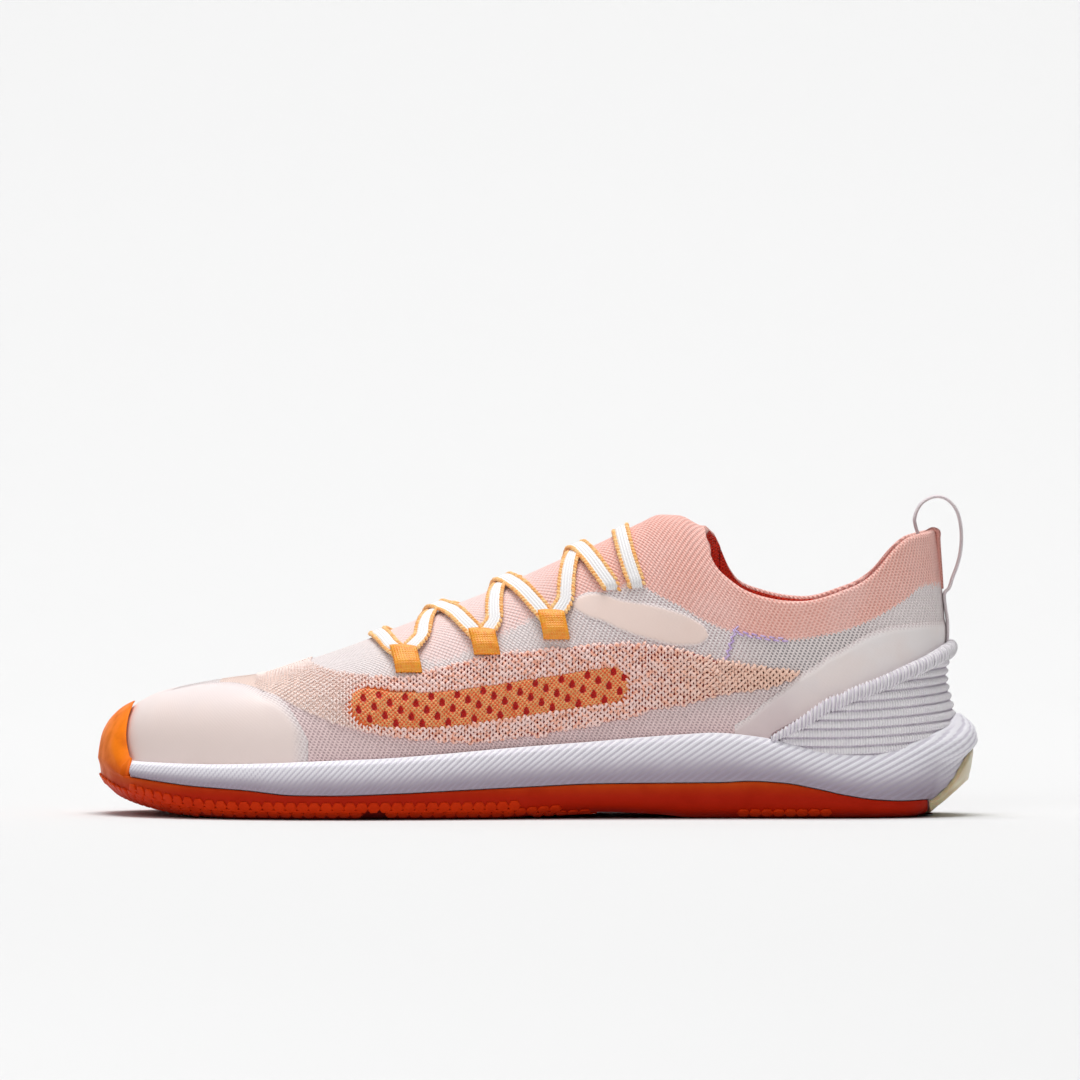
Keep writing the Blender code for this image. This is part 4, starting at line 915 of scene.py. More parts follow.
@functools.cache
def rubber_material(name, light, dark):
    """Moulded rubber, dark red low down and bright orange higher up as painted shade and light, a little dusty in
    random patches, with painted shade in the flex notch.
    """
    s = Shade(name, 0.55, Specular_IOR_Level=0.09)
    x, y, z = s.place()
    noise = s.noise(160.0)
    # Painted shade and light: dark red towards the bottom, bright orange higher up.
    base = s.mix(s.step(z, 0.006, 0.022), tint(light), tint("rubber_bumper"))
    low = s.mix(s.step(noise, 0.35, 0.75, 0.0, 0.35), base, tint(dark))
    # Painted shade in the flex notch, darker where it is cut deeper.
    recess = s.step(s.mark("recess"), 0.2, 0.8)
    s.color(s.mix(recess, low, tint("recess")))
    s.rough(s.step(noise, 0.3, 0.7, 0.42, 0.6))
    s.bump(s.noise(1500.0), 0.0001, 0.35)
    return s.material


@functools.cache
def foam_material():
    """Moulded foam with fine slanted ribs, with painted lilac shade in its grooves and painted shade towards its
    lower edge.
    """
    s = Shade("foam", 0.62)
    groove = s.step(s.mark("relief"), 0.25, -0.7)
    x, y, z = s.place()
    noise = s.noise(120.0)
    ups = s.math("MULTIPLY_ADD", noise, 0.12, s.mark("up"))
    # Painted shade: lilac-grey towards the lower edge, for light from above.
    base = s.mix(s.step(ups, 0.85, 0.15), tint("foam"), tint("foam_shade"))
    s.color(s.mix(s.math("MULTIPLY", groove, 0.5), base, tint("foam_groove")))
    s.bump(s.noise(1800.0), 0.00012, 0.4)
    return s.material


@functools.cache
def cuff_material():
    """Elastic ribbed knit, with painted lilac shade between its ribs."""
    s = Shade("cuff knit", 0.85, Sheen_Weight=0.2)
    across, rise = s.spread("rise")
    noise = s.noise(500.0)
    fine = s.wave(across, 0.00085)
    groove = s.step(s.mark("relief"), 0.2, -0.7)
    base = s.mix(s.step(noise, 0.35, 0.7, 0.0, 0.4), tint("cuff"), tint("cuff_shade"))
    # Painted shade between the ribs and in the troughs of the fine wave.
    base = s.mix(s.step(fine, 0.2, -0.9, 0.0, 0.2), base, tint("cuff_groove"))
    s.color(s.mix(s.math("MULTIPLY", groove, 0.55), base, tint("cuff_groove")))
    s.bump(s.math("MULTIPLY_ADD", noise, 0.4, fine), 0.0002, 0.8)
    return s.material


@functools.cache
def pad_material():
    """Translucent crash-pad rubber."""
    s = Shade("clear rubber", 0.3, Subsurface_Weight=0.4, Subsurface_Scale=0.003)
    noise = s.noise(140.0)
    s.color(s.mix(s.step(noise, 0.3, 0.7), tint("pad"), tint("pad_shade")))
    s.bump(s.noise(900.0), 0.0001, 0.3)
    return s.material


@functools.cache
def tape_material():
    """Translucent orange tape of the lace tabs."""
    s = Shade("lace tape", 0.38, Subsurface_Weight=0.3, Subsurface_Scale=0.002)
    across, rise = s.spread("rise")
    noise = s.noise(600.0)
    threads = s.math("MAXIMUM", s.wave(across, 0.0008), s.wave(rise, 0.0008))
    base = s.mix(s.step(noise, 0.35, 0.7), tint("tab"), tint("tab_shade"))
    s.color(s.mix(s.step(threads, 0.6, 1.0, 0.0, 0.35), base, tint("tab_light")))
    s.bump(threads, 0.00012, 0.5)
    return s.material


@functools.cache
def lace_material():
    """White flat lace with ribs along it."""
    s = Shade("lace", 0.8, Sheen_Weight=0.2)
    run, width = s.spread("ribbon")
    ribs = s.wave(width, 0.0009)
    weave = s.lattice(run, width, 0.0012, 0.0011)
    noise = s.noise(800.0)
    base = s.mix(s.step(ribs, 0.0, -1.0, 0.0, 0.4), tint("lace"), tint("lace_shade"))
    edge = s.step(s.math("ABSOLUTE", width), 0.0019, 0.0022)
    s.color(s.mix(edge, base, tint("lace_edge")))
    rough = s.math("MULTIPLY_ADD", noise, 0.3, ribs)
    s.bump(s.math("MULTIPLY_ADD", weave, 0.5, rough), 0.0002, 0.5)
    return s.material


@functools.cache
def thread_material(name, color, shade):
    """Twisted thread."""
    s = Shade(name, 0.7, Sheen_Weight=0.2)
    s.color(s.mix(s.step(s.noise(700.0), 0.35, 0.65), tint(color), tint(shade)))
    s.bump(s.noise(3000.0), 0.0001, 0.5)
    return s.material


@functools.cache
def ribbon_material(name, light, dark):
    """Thin woven ribbon."""
    s = Shade(name, 0.7, Sheen_Weight=0.2)
    run, width = s.spread("ribbon")
    weave = s.lattice(run, width, 0.0010, 0.0012)
    s.color(s.mix(s.step(weave, 0.2, -0.6, 0.0, 0.6), tint(light), tint(dark)))
    s.bump(weave, 0.0002, 0.7)
    return s.material


# ---- repeated shapes, by geometry nodes ----


def stamp_tree():
    """A tree that stands one shape on every point, turned and sized by the point's marks."""
    found = bpy.data.node_groups.get("stamp on points")
    if found:
        return found
    tree = bpy.data.node_groups.new("stamp on points", "GeometryNodeTree")
    face = tree.interface
    face.new_socket("Points", in_out="INPUT", socket_type="NodeSocketGeometry")
    face.new_socket("Stamp", in_out="INPUT", socket_type="NodeSocketObject")
    face.new_socket("Size", in_out="INPUT", socket_type="NodeSocketFloat")
    face.new_socket("Variation", in_out="INPUT", socket_type="NodeSocketFloat")
    face.new_socket("Seed", in_out="INPUT", socket_type="NodeSocketInt")
    face.new_socket("Material", in_out="INPUT", socket_type="NodeSocketMaterial")
    face.new_socket("Geometry", in_out="OUTPUT", socket_type="NodeSocketGeometry")
    nodes, links = tree.nodes, tree.links
    given = nodes.new("NodeGroupInput")
    shape = nodes.new("GeometryNodeObjectInfo")
    links.new(given.outputs["Stamp"], shape.inputs["Object"])
    spin = nodes.new("GeometryNodeInputNamedAttribute")
    spin.data_type = "FLOAT_VECTOR"
    spin.inputs["Name"].default_value = "spin"
    turn = nodes.new("FunctionNodeEulerToRotation")
    links.new(spin.outputs["Attribute"], turn.inputs[0])
    grow = nodes.new("GeometryNodeInputNamedAttribute")
    grow.data_type = "FLOAT_VECTOR"
    grow.inputs["Name"].default_value = "grow"
    least = nodes.new("ShaderNodeMath")
    least.operation = "SUBTRACT"
    least.inputs[0].default_value = 1.0
    links.new(given.outputs["Variation"], least.inputs[1])
    most = nodes.new("ShaderNodeMath")
    most.operation = "ADD"
    most.inputs[0].default_value = 1.0
    links.new(given.outputs["Variation"], most.inputs[1])
    vary = nodes.new("FunctionNodeRandomValue")
    vary.data_type = "FLOAT"
    links.new(least.outputs[0], vary.inputs[2])
    links.new(most.outputs[0], vary.inputs[3])
    links.new(given.outputs["Seed"], vary.inputs["Seed"])
    sized = nodes.new("ShaderNodeMath")
    sized.operation = "MULTIPLY"
    links.new(vary.outputs[1], sized.inputs[0])
    links.new(given.outputs["Size"], sized.inputs[1])
    scale = nodes.new("ShaderNodeVectorMath")
    scale.operation = "SCALE"
    links.new(grow.outputs["Attribute"], scale.inputs[0])
    links.new(sized.outputs[0], scale.inputs["Scale"])
    stand = nodes.new("GeometryNodeInstanceOnPoints")
    links.new(given.outputs["Points"], stand.inputs["Points"])
    links.new(shape.outputs["Geometry"], stand.inputs["Instance"])
    links.new(turn.outputs[0], stand.inputs["Rotation"])
    links.new(scale.outputs[0], stand.inputs["Scale"])
    real = nodes.new("GeometryNodeRealizeInstances")
    links.new(stand.outputs[0], real.inputs[0])
    paint = nodes.new("GeometryNodeSetMaterial")
    links.new(real.outputs[0], paint.inputs["Geometry"])
    links.new(given.outputs["Material"], paint.inputs["Material"])
    out = nodes.new("NodeGroupOutput")
    links.new(paint.outputs[0], out.inputs[0])
    return tree


def stamped(name, spots, stamp, material, length=1.0, variation=0.08, seed=7, smooth=True):
    """One mesh piece with a small shape on every spot: (place, along, normal, growth)."""
    data = bpy.data.meshes.new(name + "_points")
    data.from_pydata([tuple(spot[0]) for spot in spots], [], [])
    spins, grows = [], []
    for _, along, normal, grow in spots:
        up = Vector(normal).normalized()
        run = Vector(along)
        run = (run - up * run.dot(up)).normalized()
        turn = Matrix((run, up.cross(run), up)).transposed()
        spins += list(turn.to_euler())
        grows += list(grow)
    for key, values in (("spin", spins), ("grow", grows)):
        layer = data.attributes.new(key, "FLOAT_VECTOR", "POINT")
        layer.data.foreach_set("vector", values)
    holder = bpy.data.objects.new(name + "_points", data)
    bpy.context.scene.collection.objects.link(holder)
    tree = stamp_tree()
    modifier = holder.modifiers.new("stamps", "NODES")
    modifier.node_group = tree
    values = {"Stamp": stamp, "Size": length, "Variation": variation, "Seed": seed}
    values["Material"] = material
    for item in tree.interface.items_tree:
        if item.in_out == "INPUT" and item.name in values:
            modifier[item.identifier] = values[item.name]
    graph = bpy.context.evaluated_depsgraph_get()
    mesh = bpy.data.meshes.new_from_object(holder.evaluated_get(graph))
    mesh.name = name
    if not mesh.materials:
        mesh.materials.append(material)
    made = bpy.data.objects.new(name, mesh)
    bpy.context.scene.collection.objects.link(made)
    if smooth:
        mesh.shade_smooth()
    bpy.data.objects.remove(holder, do_unlink=True)
    bpy.data.objects.remove(stamp, do_unlink=True)
    return made


def stamp_shape(name, rings, sides):
    """A small closed shape from rings of (x, radius y, radius z, height), along X."""
    mesh = bmesh.new()
    loops = []
    for x, wide, tall, height in rings:
        loop = []
        for k in range(sides):
            angle = math.tau * (k + 0.5) / sides
            y, z = wide * math.cos(angle), height + tall * math.sin(angle)
            loop.append(mesh.verts.new((x, y, z)))
        loops.append(loop)
    for before, after in zip(loops, loops[1:]):
        for k in range(sides):
            mesh.faces.new((before[k], before[(k + 1) % sides], after[(k + 1) % sides], after[k]))
    mesh.faces.new(list(reversed(loops[0])))
    mesh.faces.new(loops[-1])
    return keep_shape(name, mesh)


def knot_shape(name):
    """Two short legs of yarn that meet in a V, of unit width."""
    mesh = bmesh.new()
    for lean in (-1, 1):
        loops = []
        for t, radius in ((0.0, 0.08), (0.22, 0.21), (0.6, 0.235), (0.85, 0.17), (1.0, 0.06)):
            x = lean * (0.46 - 0.36 * t)
            y = -0.42 + 0.84 * t
            z = 0.12 + 0.3 * math.sin(math.pi * t)
            loop = []
            for k in range(5):
                angle = math.tau * k / 5
                across, up = radius * math.cos(angle), radius * 0.8 * math.sin(angle)
                loop.append(mesh.verts.new((x + across, y, z + up)))
            loops.append(loop)
        for before, after in zip(loops, loops[1:]):
            for k in range(5):
                mesh.faces.new((before[k], before[(k + 1) % 5], after[(k + 1) % 5], after[k]))
        mesh.faces.new(list(reversed(loops[0])))
        mesh.faces.new(loops[-1])
    return keep_shape(name, mesh)


def lug_shape(name):
    """A low six-sided pad with bevelled edges, of unit width."""
    mesh = bmesh.new()
    loops = []
    for radius, height in ((0.57, -0.3), (0.57, 0.45), (0.535, 0.85), (0.46, 1.0)):
        loop = []
        for k in range(6):
            angle = math.tau * (k + 0.5) / 6
            x, y = radius * math.cos(angle), radius * math.sin(angle)
            loop.append(mesh.verts.new((x, y, height)))
        loops.append(loop)
    for before, after in zip(loops, loops[1:]):
        for k in range(6):
            mesh.faces.new((before[k], before[(k + 1) % 6], after[(k + 1) % 6], after[k]))
    mesh.faces.new(list(reversed(loops[0])))
    mesh.faces.new(loops[-1])
    return keep_shape(name, mesh)


# ---- places on the upper ----

band_low = curve(BAND, "along", "low")
band_high = curve(BAND, "along", "high")
vent_middle = curve(VENT, "along", "middle")
collar_seam = curve(COLLAR_SEAM, "along", "height")
throat_seam = curve(THROAT_SEAM, "along", "height")
pattern_line = curve(PATTERN_LINE, "along", "height")


def zone_marks(points):
    """How far each point of the upper lies inside the band, the vent, the collar and the throat."""
    along, height = along_of(points[..., 0]), points[..., 2]
    low, high = (INSTEP_HEIGHT * line(along) for line in (band_low, band_high))
    band = np.minimum(height - low, high - height)
    ends = np.minimum(along - BAND[0].along, BAND[-1].along - along) * UPPER_LENGTH
    band = np.minimum(band, ends)
    collar = height - INSTEP_HEIGHT * collar_seam(along)
    collar = np.where(along > COLLAR_SEAM[-1].along, -0.01, collar)
    throat = height - INSTEP_HEIGHT * throat_seam(along)
    throat = np.minimum(throat, (THROAT_SEAM[-1].along - along) * UPPER_LENGTH)
    return {"band": band, "vent": vent_depth(along, height), "collar": collar, "throat": throat}


def vent_depth(along, height):
    """Distance inside an evenly wide strip with round ends, in metres."""
    half = size("vent_width") / 2
    radius = half / UPPER_LENGTH
    beyond = np.maximum(VENT_START + radius - along, 0.0)
    beyond = beyond + np.maximum(along - VENT_END + radius, 0.0)
    inner = np.clip(along, VENT_START + radius, VENT_END - radius)
    aside = height - INSTEP_HEIGHT * vent_middle(inner)
    return half - np.hypot(aside, beyond * UPPER_LENGTH)


def build_upper():
    """The knitted bootie with its lining, as one closed wall."""
    outer_rows = SKIN.rows
    points, faces, rise, fall, kinds = [], [], [], [], []
    count = 0
    for side in SIDES:
        grid, normals = SKIN.points[side], SKIN.normals[side]
        lengths = SKIN.lengths(side)
        starts = [
            float(np.interp(INSTEP_HEIGHT * pattern_line(hub_along(turn)), column[:, 2], length))
            for turn, column, length in zip(SKIN.turns, grid, lengths)
        ]
        lengths_left = lengths - np.array(starts)[:, None]
        run = np.repeat((side * SKIN.perimeter)[:, None], outer_rows, axis=1)
        for lift in (0.0, -UPPER_WALL):
            layer = grid + normals * lift
            points.append(layer.reshape(-1, 3))
            rise.append(np.stack((run, lengths), axis=-1).reshape(-1, 2))
            fall.append(np.stack((run, lengths_left), axis=-1).reshape(-1, 2))
            made = grid_faces(len(SKIN.turns), outer_rows, start=count)
            faces += made
            for turn in SKIN.turns[:-1]:
                folded = side == MEDIAL and turn < turn_at(0.162)
                knit = outer_rows - 1 if lift == 0.0 else 4 * folded
                kinds += [1] * (outer_rows - 1 - knit) + [0] * knit
            count += layer.shape[0] * layer.shape[1]
        open_columns = [i for i, turn in enumerate(SKIN.turns) if turn < THROAT_TURN + 1e-6]
        edge_up = unit(grid[:, -1] - grid[:, -3])
        for row, ups in ((-1, True), (0, False)):
            columns = open_columns if ups else range(len(SKIN.turns))
            swell = (0.0, 0.35, 0.5, 0.35, 0.0) if ups else (0.0, 0.0)
            steps = np.linspace(0.0, 1.0, len(swell))
            strip = []
            for t, bulge in zip(steps, swell):
                fade = np.clip((THROAT_TURN - SKIN.turns) / 0.02, 0.0, 1.0)[:, None] if ups else 0.0
                line = grid[:, row] - normals[:, row] * UPPER_WALL * t
                line = line + edge_up * UPPER_WALL * bulge * fade
                strip.append(line[list(columns)])
            strip = np.array(strip).transpose(1, 0, 2)
            points.append(strip.reshape(-1, 3))
            at = np.repeat(run[list(columns), :1], len(swell), axis=1)
            across = np.tile(steps * UPPER_WALL, (len(at), 1))
            rise.append(np.stack((at, across), axis=-1).reshape(-1, 2))
            edge_fall = lengths_left[list(columns), row][:, None] + steps * UPPER_WALL
            fall.append(np.stack((at, edge_fall), axis=-1).reshape(-1, 2))
            made = grid_faces(len(at), len(swell), start=count)
            faces += made
            kinds += [0 if ups else 1] * len(made)
            count += strip.shape[0] * strip.shape[1]
    points = np.vstack(points)
    marks = zone_marks(points)
    maps = {"rise": np.vstack(rise), "fall": np.vstack(fall)}
    materials = [knit_material(), lining_material()]
    made = add_mesh("upper_knit", points, faces, materials, maps, marks, kinds)
    return finish_piece(made, "knit", "upper")


def skin_spot(turn, side, share, lift, grow):
    """A spot for a stamp on the upper: its place, the way forward, the normal and the growth."""
    place = SKIN.at(turn, side, share, lift)
    ahead = SKIN.at(turn + 0.004, side, share, lift)
    return place, ahead - place, SKIN.normal(turn, side, share), grow


def build_band():
    """Knots of thick yarn over the coarse band."""
    pitch = size("knot_pitch")
    yarn = yarn_material("band yarn", "yarn", "yarn_shade", "yarn_toe", "yarn_heel")
    for side, side_name in ((LATERAL, "lateral"), (MEDIAL, "medial")):
        found = []
        runs = np.arange(SKIN.across(turn_at(BAND[0].along)), SKIN.across(2.75), pitch / 2)
        for index, run in enumerate(runs):
            turn = float(np.interp(run, SKIN.perimeter, SKIN.turns))
            length = SKIN.length(turn, side)
            middle = vent_share(turn, side) * length
            for k in range(-40 + index % 2, 41, 2):
                share = (middle + k * pitch * 0.44) / length
                if not 0.02 < share < 0.999:
                    continue
                place = SKIN.at(turn, side, share)
                marks = zone_marks(place)
                on_band = marks["band"] > KNOT_CLEARANCE and marks["vent"] < KNOT_CLEARANCE
                if on_band and place[0] > KNOTS_END_X:
                    big = 0.3 + 0.75 * min(max((place[0] + 0.085) / 0.045, 0.0), 1.0)
                    found.append(skin_spot(turn, side, share, 0.0, (big, big, big)))
        knots = stamped(f"band_knots_{side_name}", found, knot_shape("knot"), yarn, pitch, 0.22, 3)
        finish_piece(knots, "knit")


def vent_share(turn, side):
    return SKIN.share_at(turn, side, INSTEP_HEIGHT * float(vent_middle(hub_along(turn))))


def hole_depth(run, up):
    """How deep a spot of the vent lies in a hole: above 0 inside, 1 in its middle."""
    pitch, row = size("hole_pitch"), size("hole_row")
    found = []
    for k in range(-2, 3):
        aside = (run - size("hole_shift") * k + pitch / 2) % pitch - pitch / 2
        above = (up - k * row) / size("hole_height") * 2
        wide = size("hole_width") / 2 * (1 - 0.5 * np.clip(above, -1, 1))
        found.append(1 - np.hypot(aside / wide, above))
    return np.max(found, axis=0)


def build_vent():
    """The vent's strip of knit with its sunk holes."""
    half = size("vent_width") / 2
    for side, side_name in ((LATERAL, "lateral"), (MEDIAL, "medial")):
        starts = [SKIN.across(turn_at(along)) for along in (VENT_START, VENT_END)]
        runs = np.arange(starts[0], starts[1] + VENT_STEP, VENT_STEP)
        turns = np.interp(runs, SKIN.perimeter, SKIN.turns)
        rows = int(2 * half / VENT_STEP)
        loops, spread, marks = [], [], []
        for run, turn in zip(runs, turns):
            turn = float(turn)
            length = SKIN.length(turn, side)
            middle = vent_share(turn, side) * length
            end = min(run - starts[0], starts[1] - run)
            reach_up = half * math.sqrt(max(1 - (1 - min(end / half, 1.0)) ** 2, 0.0)) + 1e-5
            ups = np.linspace(-reach_up, reach_up, rows)
            depth = hole_depth(run, ups)
            edge = np.clip((reach_up - np.abs(ups)) / VENT_EDGE, 0.0, 1.0)
            edge = edge * min(end / VENT_EDGE + 0.02, 1.0)
            sunk = np.clip(depth * 3.0, 0.0, 1.0) * np.clip(edge * 3 - 1, 0.0, 1.0)
            weave = np.sin(run * math.tau / 0.0015) * np.sin(ups * math.tau / 0.0014)
            fuzz = np.sin(run * math.tau / 0.0023 + 2 * np.sin(ups * math.tau / 0.0031))
            relief = (0.00014 * weave + 0.00008 * fuzz) * (1 - sunk) * edge
            lift = VENT_LIFT * np.sqrt(edge) + relief - HOLE_DEPTH * sunk
            outer = SKIN.at(turn, side, (middle + ups) / length, lift)
            behind = ups[-HIDDEN_STEP::-HIDDEN_STEP]
            inner = SKIN.at(turn, side, (middle + behind) / length, -VENT_ROOT)
            loops.append(np.vstack((outer, inner)))
            around = np.concatenate((ups, behind))
            spread.append(np.column_stack((np.full(len(around), run), around)))
            marks.append(np.concatenate((sunk, np.zeros(len(behind)))))
        maps, marks = {"rise": np.array(spread)}, {"hole": np.array(marks)}
        finish_piece(add_loft(f"vent_{side_name}", loops, vent_material(), maps, marks), "knit")


def keep_shape(name, mesh):
    bmesh.ops.recalc_face_normals(mesh, faces=mesh.faces)
    data = bpy.data.meshes.new(name)
    mesh.to_mesh(data)
    mesh.free()
    data.shade_smooth()
    made = bpy.data.objects.new(name, data)
    bpy.context.scene.collection.objects.link(made)
    return made


@functools.cache
def vent_material():
    """Orange yarn of the vent, with random tone, lighter on its raised weave as painted highlight and darker in its
    low places as painted shade, and dark red holes.
    """
    s = Shade("vent", 0.8, Sheen_Weight=0.2)
    run, up = s.spread("rise")
    weave = s.lattice(run, up, 0.0013, 0.0014)
    noise = s.noise(500.0)
    grain = s.math("MULTIPLY_ADD", noise, 1.6, weave)
    # Painted highlight and shade: the colour follows the same weave as the bump, lighter where it is raised and
    # darker where it is low, mixed with random tone.
    base = s.mix(s.step(grain, 0.4, 1.1), tint("vent_shade"), tint("vent_yarn"))
    base = s.mix(s.step(grain, 0.7, 0.1), base, tint("vent_deep"))
    s.color(s.mix(s.step(s.mark("hole"), 0.15, 0.5), base, tint("vent_hole")))
    s.bump(s.math("MULTIPLY_ADD", noise, 1.2, weave), 0.0003, 1.0)
    return s.material


def build_films():
    """Fused films over the toe, round the heel and beside the top eyelets."""
    heel_top = curve(HEEL_FILM, "turn", "height")
    toe_top = curve(TOE_FILM, "turn", "share")
    roof = FILM_THICKNESS

    def rim_share(turn, side):
        return SKIN.share_at(turn, side, rim_height(turn, side) - 0.0008)

    def roll_share(turn, side):
        half = ROLL_WIDTH * 0.4 / SKIN.length(turn, side)
        return max(SKIN.share_at(turn, side, HEEL_HEIGHT * roll_of(turn)) + half, 0.0)

    def heel_low(turn, side):
        rim = rim_share(turn, side)
        return max(rim, roll_share(turn, side)) if turn < ROLL[-1].turn else rim

    turns = [turn for turn in UPPER_TURNS if turn < HEEL_FILM[-1].turn] + [HEEL_FILM[-1].turn]
    around = [(turn, LATERAL) for turn in reversed(turns)] + [(turn, MEDIAL) for turn in turns[1:]]
    loops, spread, soft = skin_sandwich(
        *zip(*around), heel_low,
        lambda turn, side: SKIN.share_at(turn, side, HEEL_HEIGHT * heel_top(turn)), roof, 34, 0.0026,
    )  # fmt: skip
    finish = film_material("heel film", "heel_film", "heel_film_low")
    heel = add_loft("heel_overlay", loops, finish, {"rise": spread}, {"soft": soft})
    finish_piece(heel, "film", "heel_film")

    turns = [TOE_FILM[0].turn] + [turn for turn in UPPER_TURNS if turn > TOE_FILM[0].turn + 1e-3]
    around = [(turn, LATERAL) for turn in turns] + [(turn, MEDIAL) for turn in reversed(turns[:-1])]
    loops, spread, soft = skin_sandwich(
        *zip(*around), rim_share, lambda turn, side: float(toe_top(turn)), roof, 60, 0.0065,
        end_at=lambda turn: SKIN.across(turn) - SKIN.across(TOE_FILM[0].turn),
    )  # fmt: skip
    finish = film_material("toe film", "toe_film", "toe_film_low")
    toe = add_loft("toe_overlay", loops, finish, {"rise": spread}, {"soft": soft})
    finish_piece(toe, "film", "toe_film")

    low_of, high_of = curve(EYESTAY, "along", "low"), curve(EYESTAY, "along", "high")
    alongs = np.linspace(EYESTAY[0].along, EYESTAY[-1].along, 60)
    for name, side in (("lateral", LATERAL), ("medial", MEDIAL)):
        loops, spread, soft = skin_sandwich(
            [turn_at(along) for along in alongs], [side] * len(alongs),
            lambda turn, side: SKIN.share_at(turn, side, INSTEP_HEIGHT * low_of(hub_along(turn))),
            lambda turn, side: SKIN.share_at(turn, side, INSTEP_HEIGHT * high_of(hub_along(turn))),
            roof * 0.6, 40, 0.0016, taper_low=True,
        )  # fmt: skip
        finish = film_material("eyestay film", "eyestay", "eyestay_low")
        leaf = add_loft(f"eyestay_{name}", loops, finish, {"rise": spread}, {"soft": soft})
        finish_piece(leaf, "film", f"eyestay_film_{name}")


def build_cuff():
    """Ribbed elastic cuff round the heel, and its rolled edge."""
    turns = spaced_turns(70, 600, 1)
    turns = [turn for turn in turns if turn < ROLL_END] + [ROLL_END]
    around = [(turn, LATERAL) for turn in reversed(turns)] + [(turn, MEDIAL) for turn in turns[1:]]
    rows = 110
    shares = np.linspace(0.0, 1.0, rows)
    loops, spread, marks = [], [], []
    for turn, side in around:
        length = SKIN.length(turn, side)
        low = SKIN.share_at(turn, side, rim_height(turn, side) - 0.0008)
        high = SKIN.share_at(turn, side, HEEL_HEIGHT * float(roll_of(turn)))
        high = max(high, low + 1e-3)
        across = low + (high - low) * shares
        height = SKIN.at(turn, side, across)[:, 2]
        sag = 0.0012 * math.cos(math.pi * turn / ROLL_END)
        phase = (height - sag) / size("cuff_rib_pitch") * math.tau
        relief = np.sin(phase)
        fade = np.clip((high - low) * length / 0.006, 0.15, 1.0)
        lift = FIT_GAP + CUFF_THICKNESS * (0.5 + 0.6 * np.abs(np.cos(phase / 2)) ** 0.7) * fade
        outer = SKIN.at(turn, side, across, lift)
        behind = across[-HIDDEN_STEP::-HIDDEN_STEP]
        inner = SKIN.at(turn, side, behind, 0.0)
        loops.append(np.vstack((outer, inner)))
        groove = np.abs(np.cos(phase / 2)) * 2 - 1
        marks.append(np.concatenate((groove, np.zeros(len(behind)))))
        rise = np.concatenate((across, behind)) * length
        spread.append(np.column_stack((np.full(len(rise), side * SKIN.across(turn)), rise)))
    maps, marks = {"rise": np.array(spread)}, {"relief": np.array(marks)}
    cuff = add_loft("heel_cuff_knit", loops, cuff_material(), maps, marks)
    finish_piece(cuff, "cuff_knit", "heel_cuff")

    turns = spaced_turns(180, 1500, 1)
    turns = [turn for turn in turns if turn < ROLL_END] + [ROLL_END]
    around = [(turn, LATERAL) for turn in reversed(turns)] + [(turn, MEDIAL) for turn in turns[1:]]
    sides = 16
    angle = math.tau * np.arange(sides) / sides
    loops, spread, marks = [], [], []
    for turn, side in around:
        length = SKIN.length(turn, side)
        middle = SKIN.share_at(turn, side, HEEL_HEIGHT * float(roll_of(turn)))
        run = SKIN.across(turn) * 1.25
        lean = math.tau * run / size("roll_rib_pitch")
        relief = np.sin(lean + 0.9 * np.cos(angle))
        radius = 1.08 + 0.17 * relief
        taper = min(1.0, 0.45 + (ROLL_END - turn) / 0.12)
        share = middle + np.cos(angle) * ROLL_WIDTH / 2 * radius * taper / length
        lift = FIT_GAP + ROLL_THICKNESS / 2 * (1 + np.sin(angle) * radius) * (0.6 + 0.4 * taper)
        loops.append(SKIN.at(turn, side, share, np.maximum(lift, 0.0002)))
        spread.append(np.column_stack((np.full(sides, side * run), angle * ROLL_WIDTH / 2)))
        marks.append(relief)
    maps, marks = {"rise": np.array(spread)}, {"relief": np.array(marks)}
    roll = add_loft("heel_roll_knit", loops, cuff_material(), maps, marks)
    finish_piece(roll, "cuff_knit", "heel_cuff_roll")


# ---- the sole ----


def set_out(turn, row):
    heel, toe = float(heel_blend(turn)), float(toe_blend(turn))
    side = (1 - heel - toe) * row.side_out * SIDE_FLARE
    return side + heel * row.heel_out * HEEL_FLARE + toe * row.toe_out * TOE_BUMPER


def set_up(turn, row):
    heel, toe = float(heel_blend(turn)), float(toe_blend(turn))
    return (1 - heel - toe) * row.side_up + heel * row.heel_up + toe * row.toe_up


def lip_inner(turn, side):
    distance = reach(turn, side)
    if turn >= BUMPER_START:
        return distance + 2 * FIT_GAP + TOE_WALL, wrap_height(turn, side)
    height = wrap_height(turn, side) + FIT_GAP * float(heel_blend(turn))
    return distance + set_out(turn, RUBBER_SIDE[-1]) - LIP_WIDTH, height


def floor_corner(turn, side):
    heel, toe = float(heel_blend(turn)), float(toe_blend(turn))
    out = (1 - heel - toe) * FLOOR_CORNER.side_out * SIDE_FLARE
    out += heel * FLOOR_CORNER.heel_out * HEEL_FLARE + toe * FLOOR_CORNER.toe_out * TOE_BUMPER
    return reach(turn, side) + out


def rubber_line(turn, side):
    """The rubber's outer face from its flat underside up to the lip."""
    distance = reach(turn, side)
    lip = wrap_height(turn, side)
    low = float(under(in_plan(turn, side, distance)[0]))
    line = []
    for row in RUBBER_SIDE:
        out = distance + set_out(turn, row)
        height = low + set_up(turn, row) * (lip - low)
        if row is RUBBER_SIDE[0]:
            height = float(under(in_plan(turn, side, out)[0]))
        line.append(spot_at(turn, side, out, height))
    return rounded(line, 5)


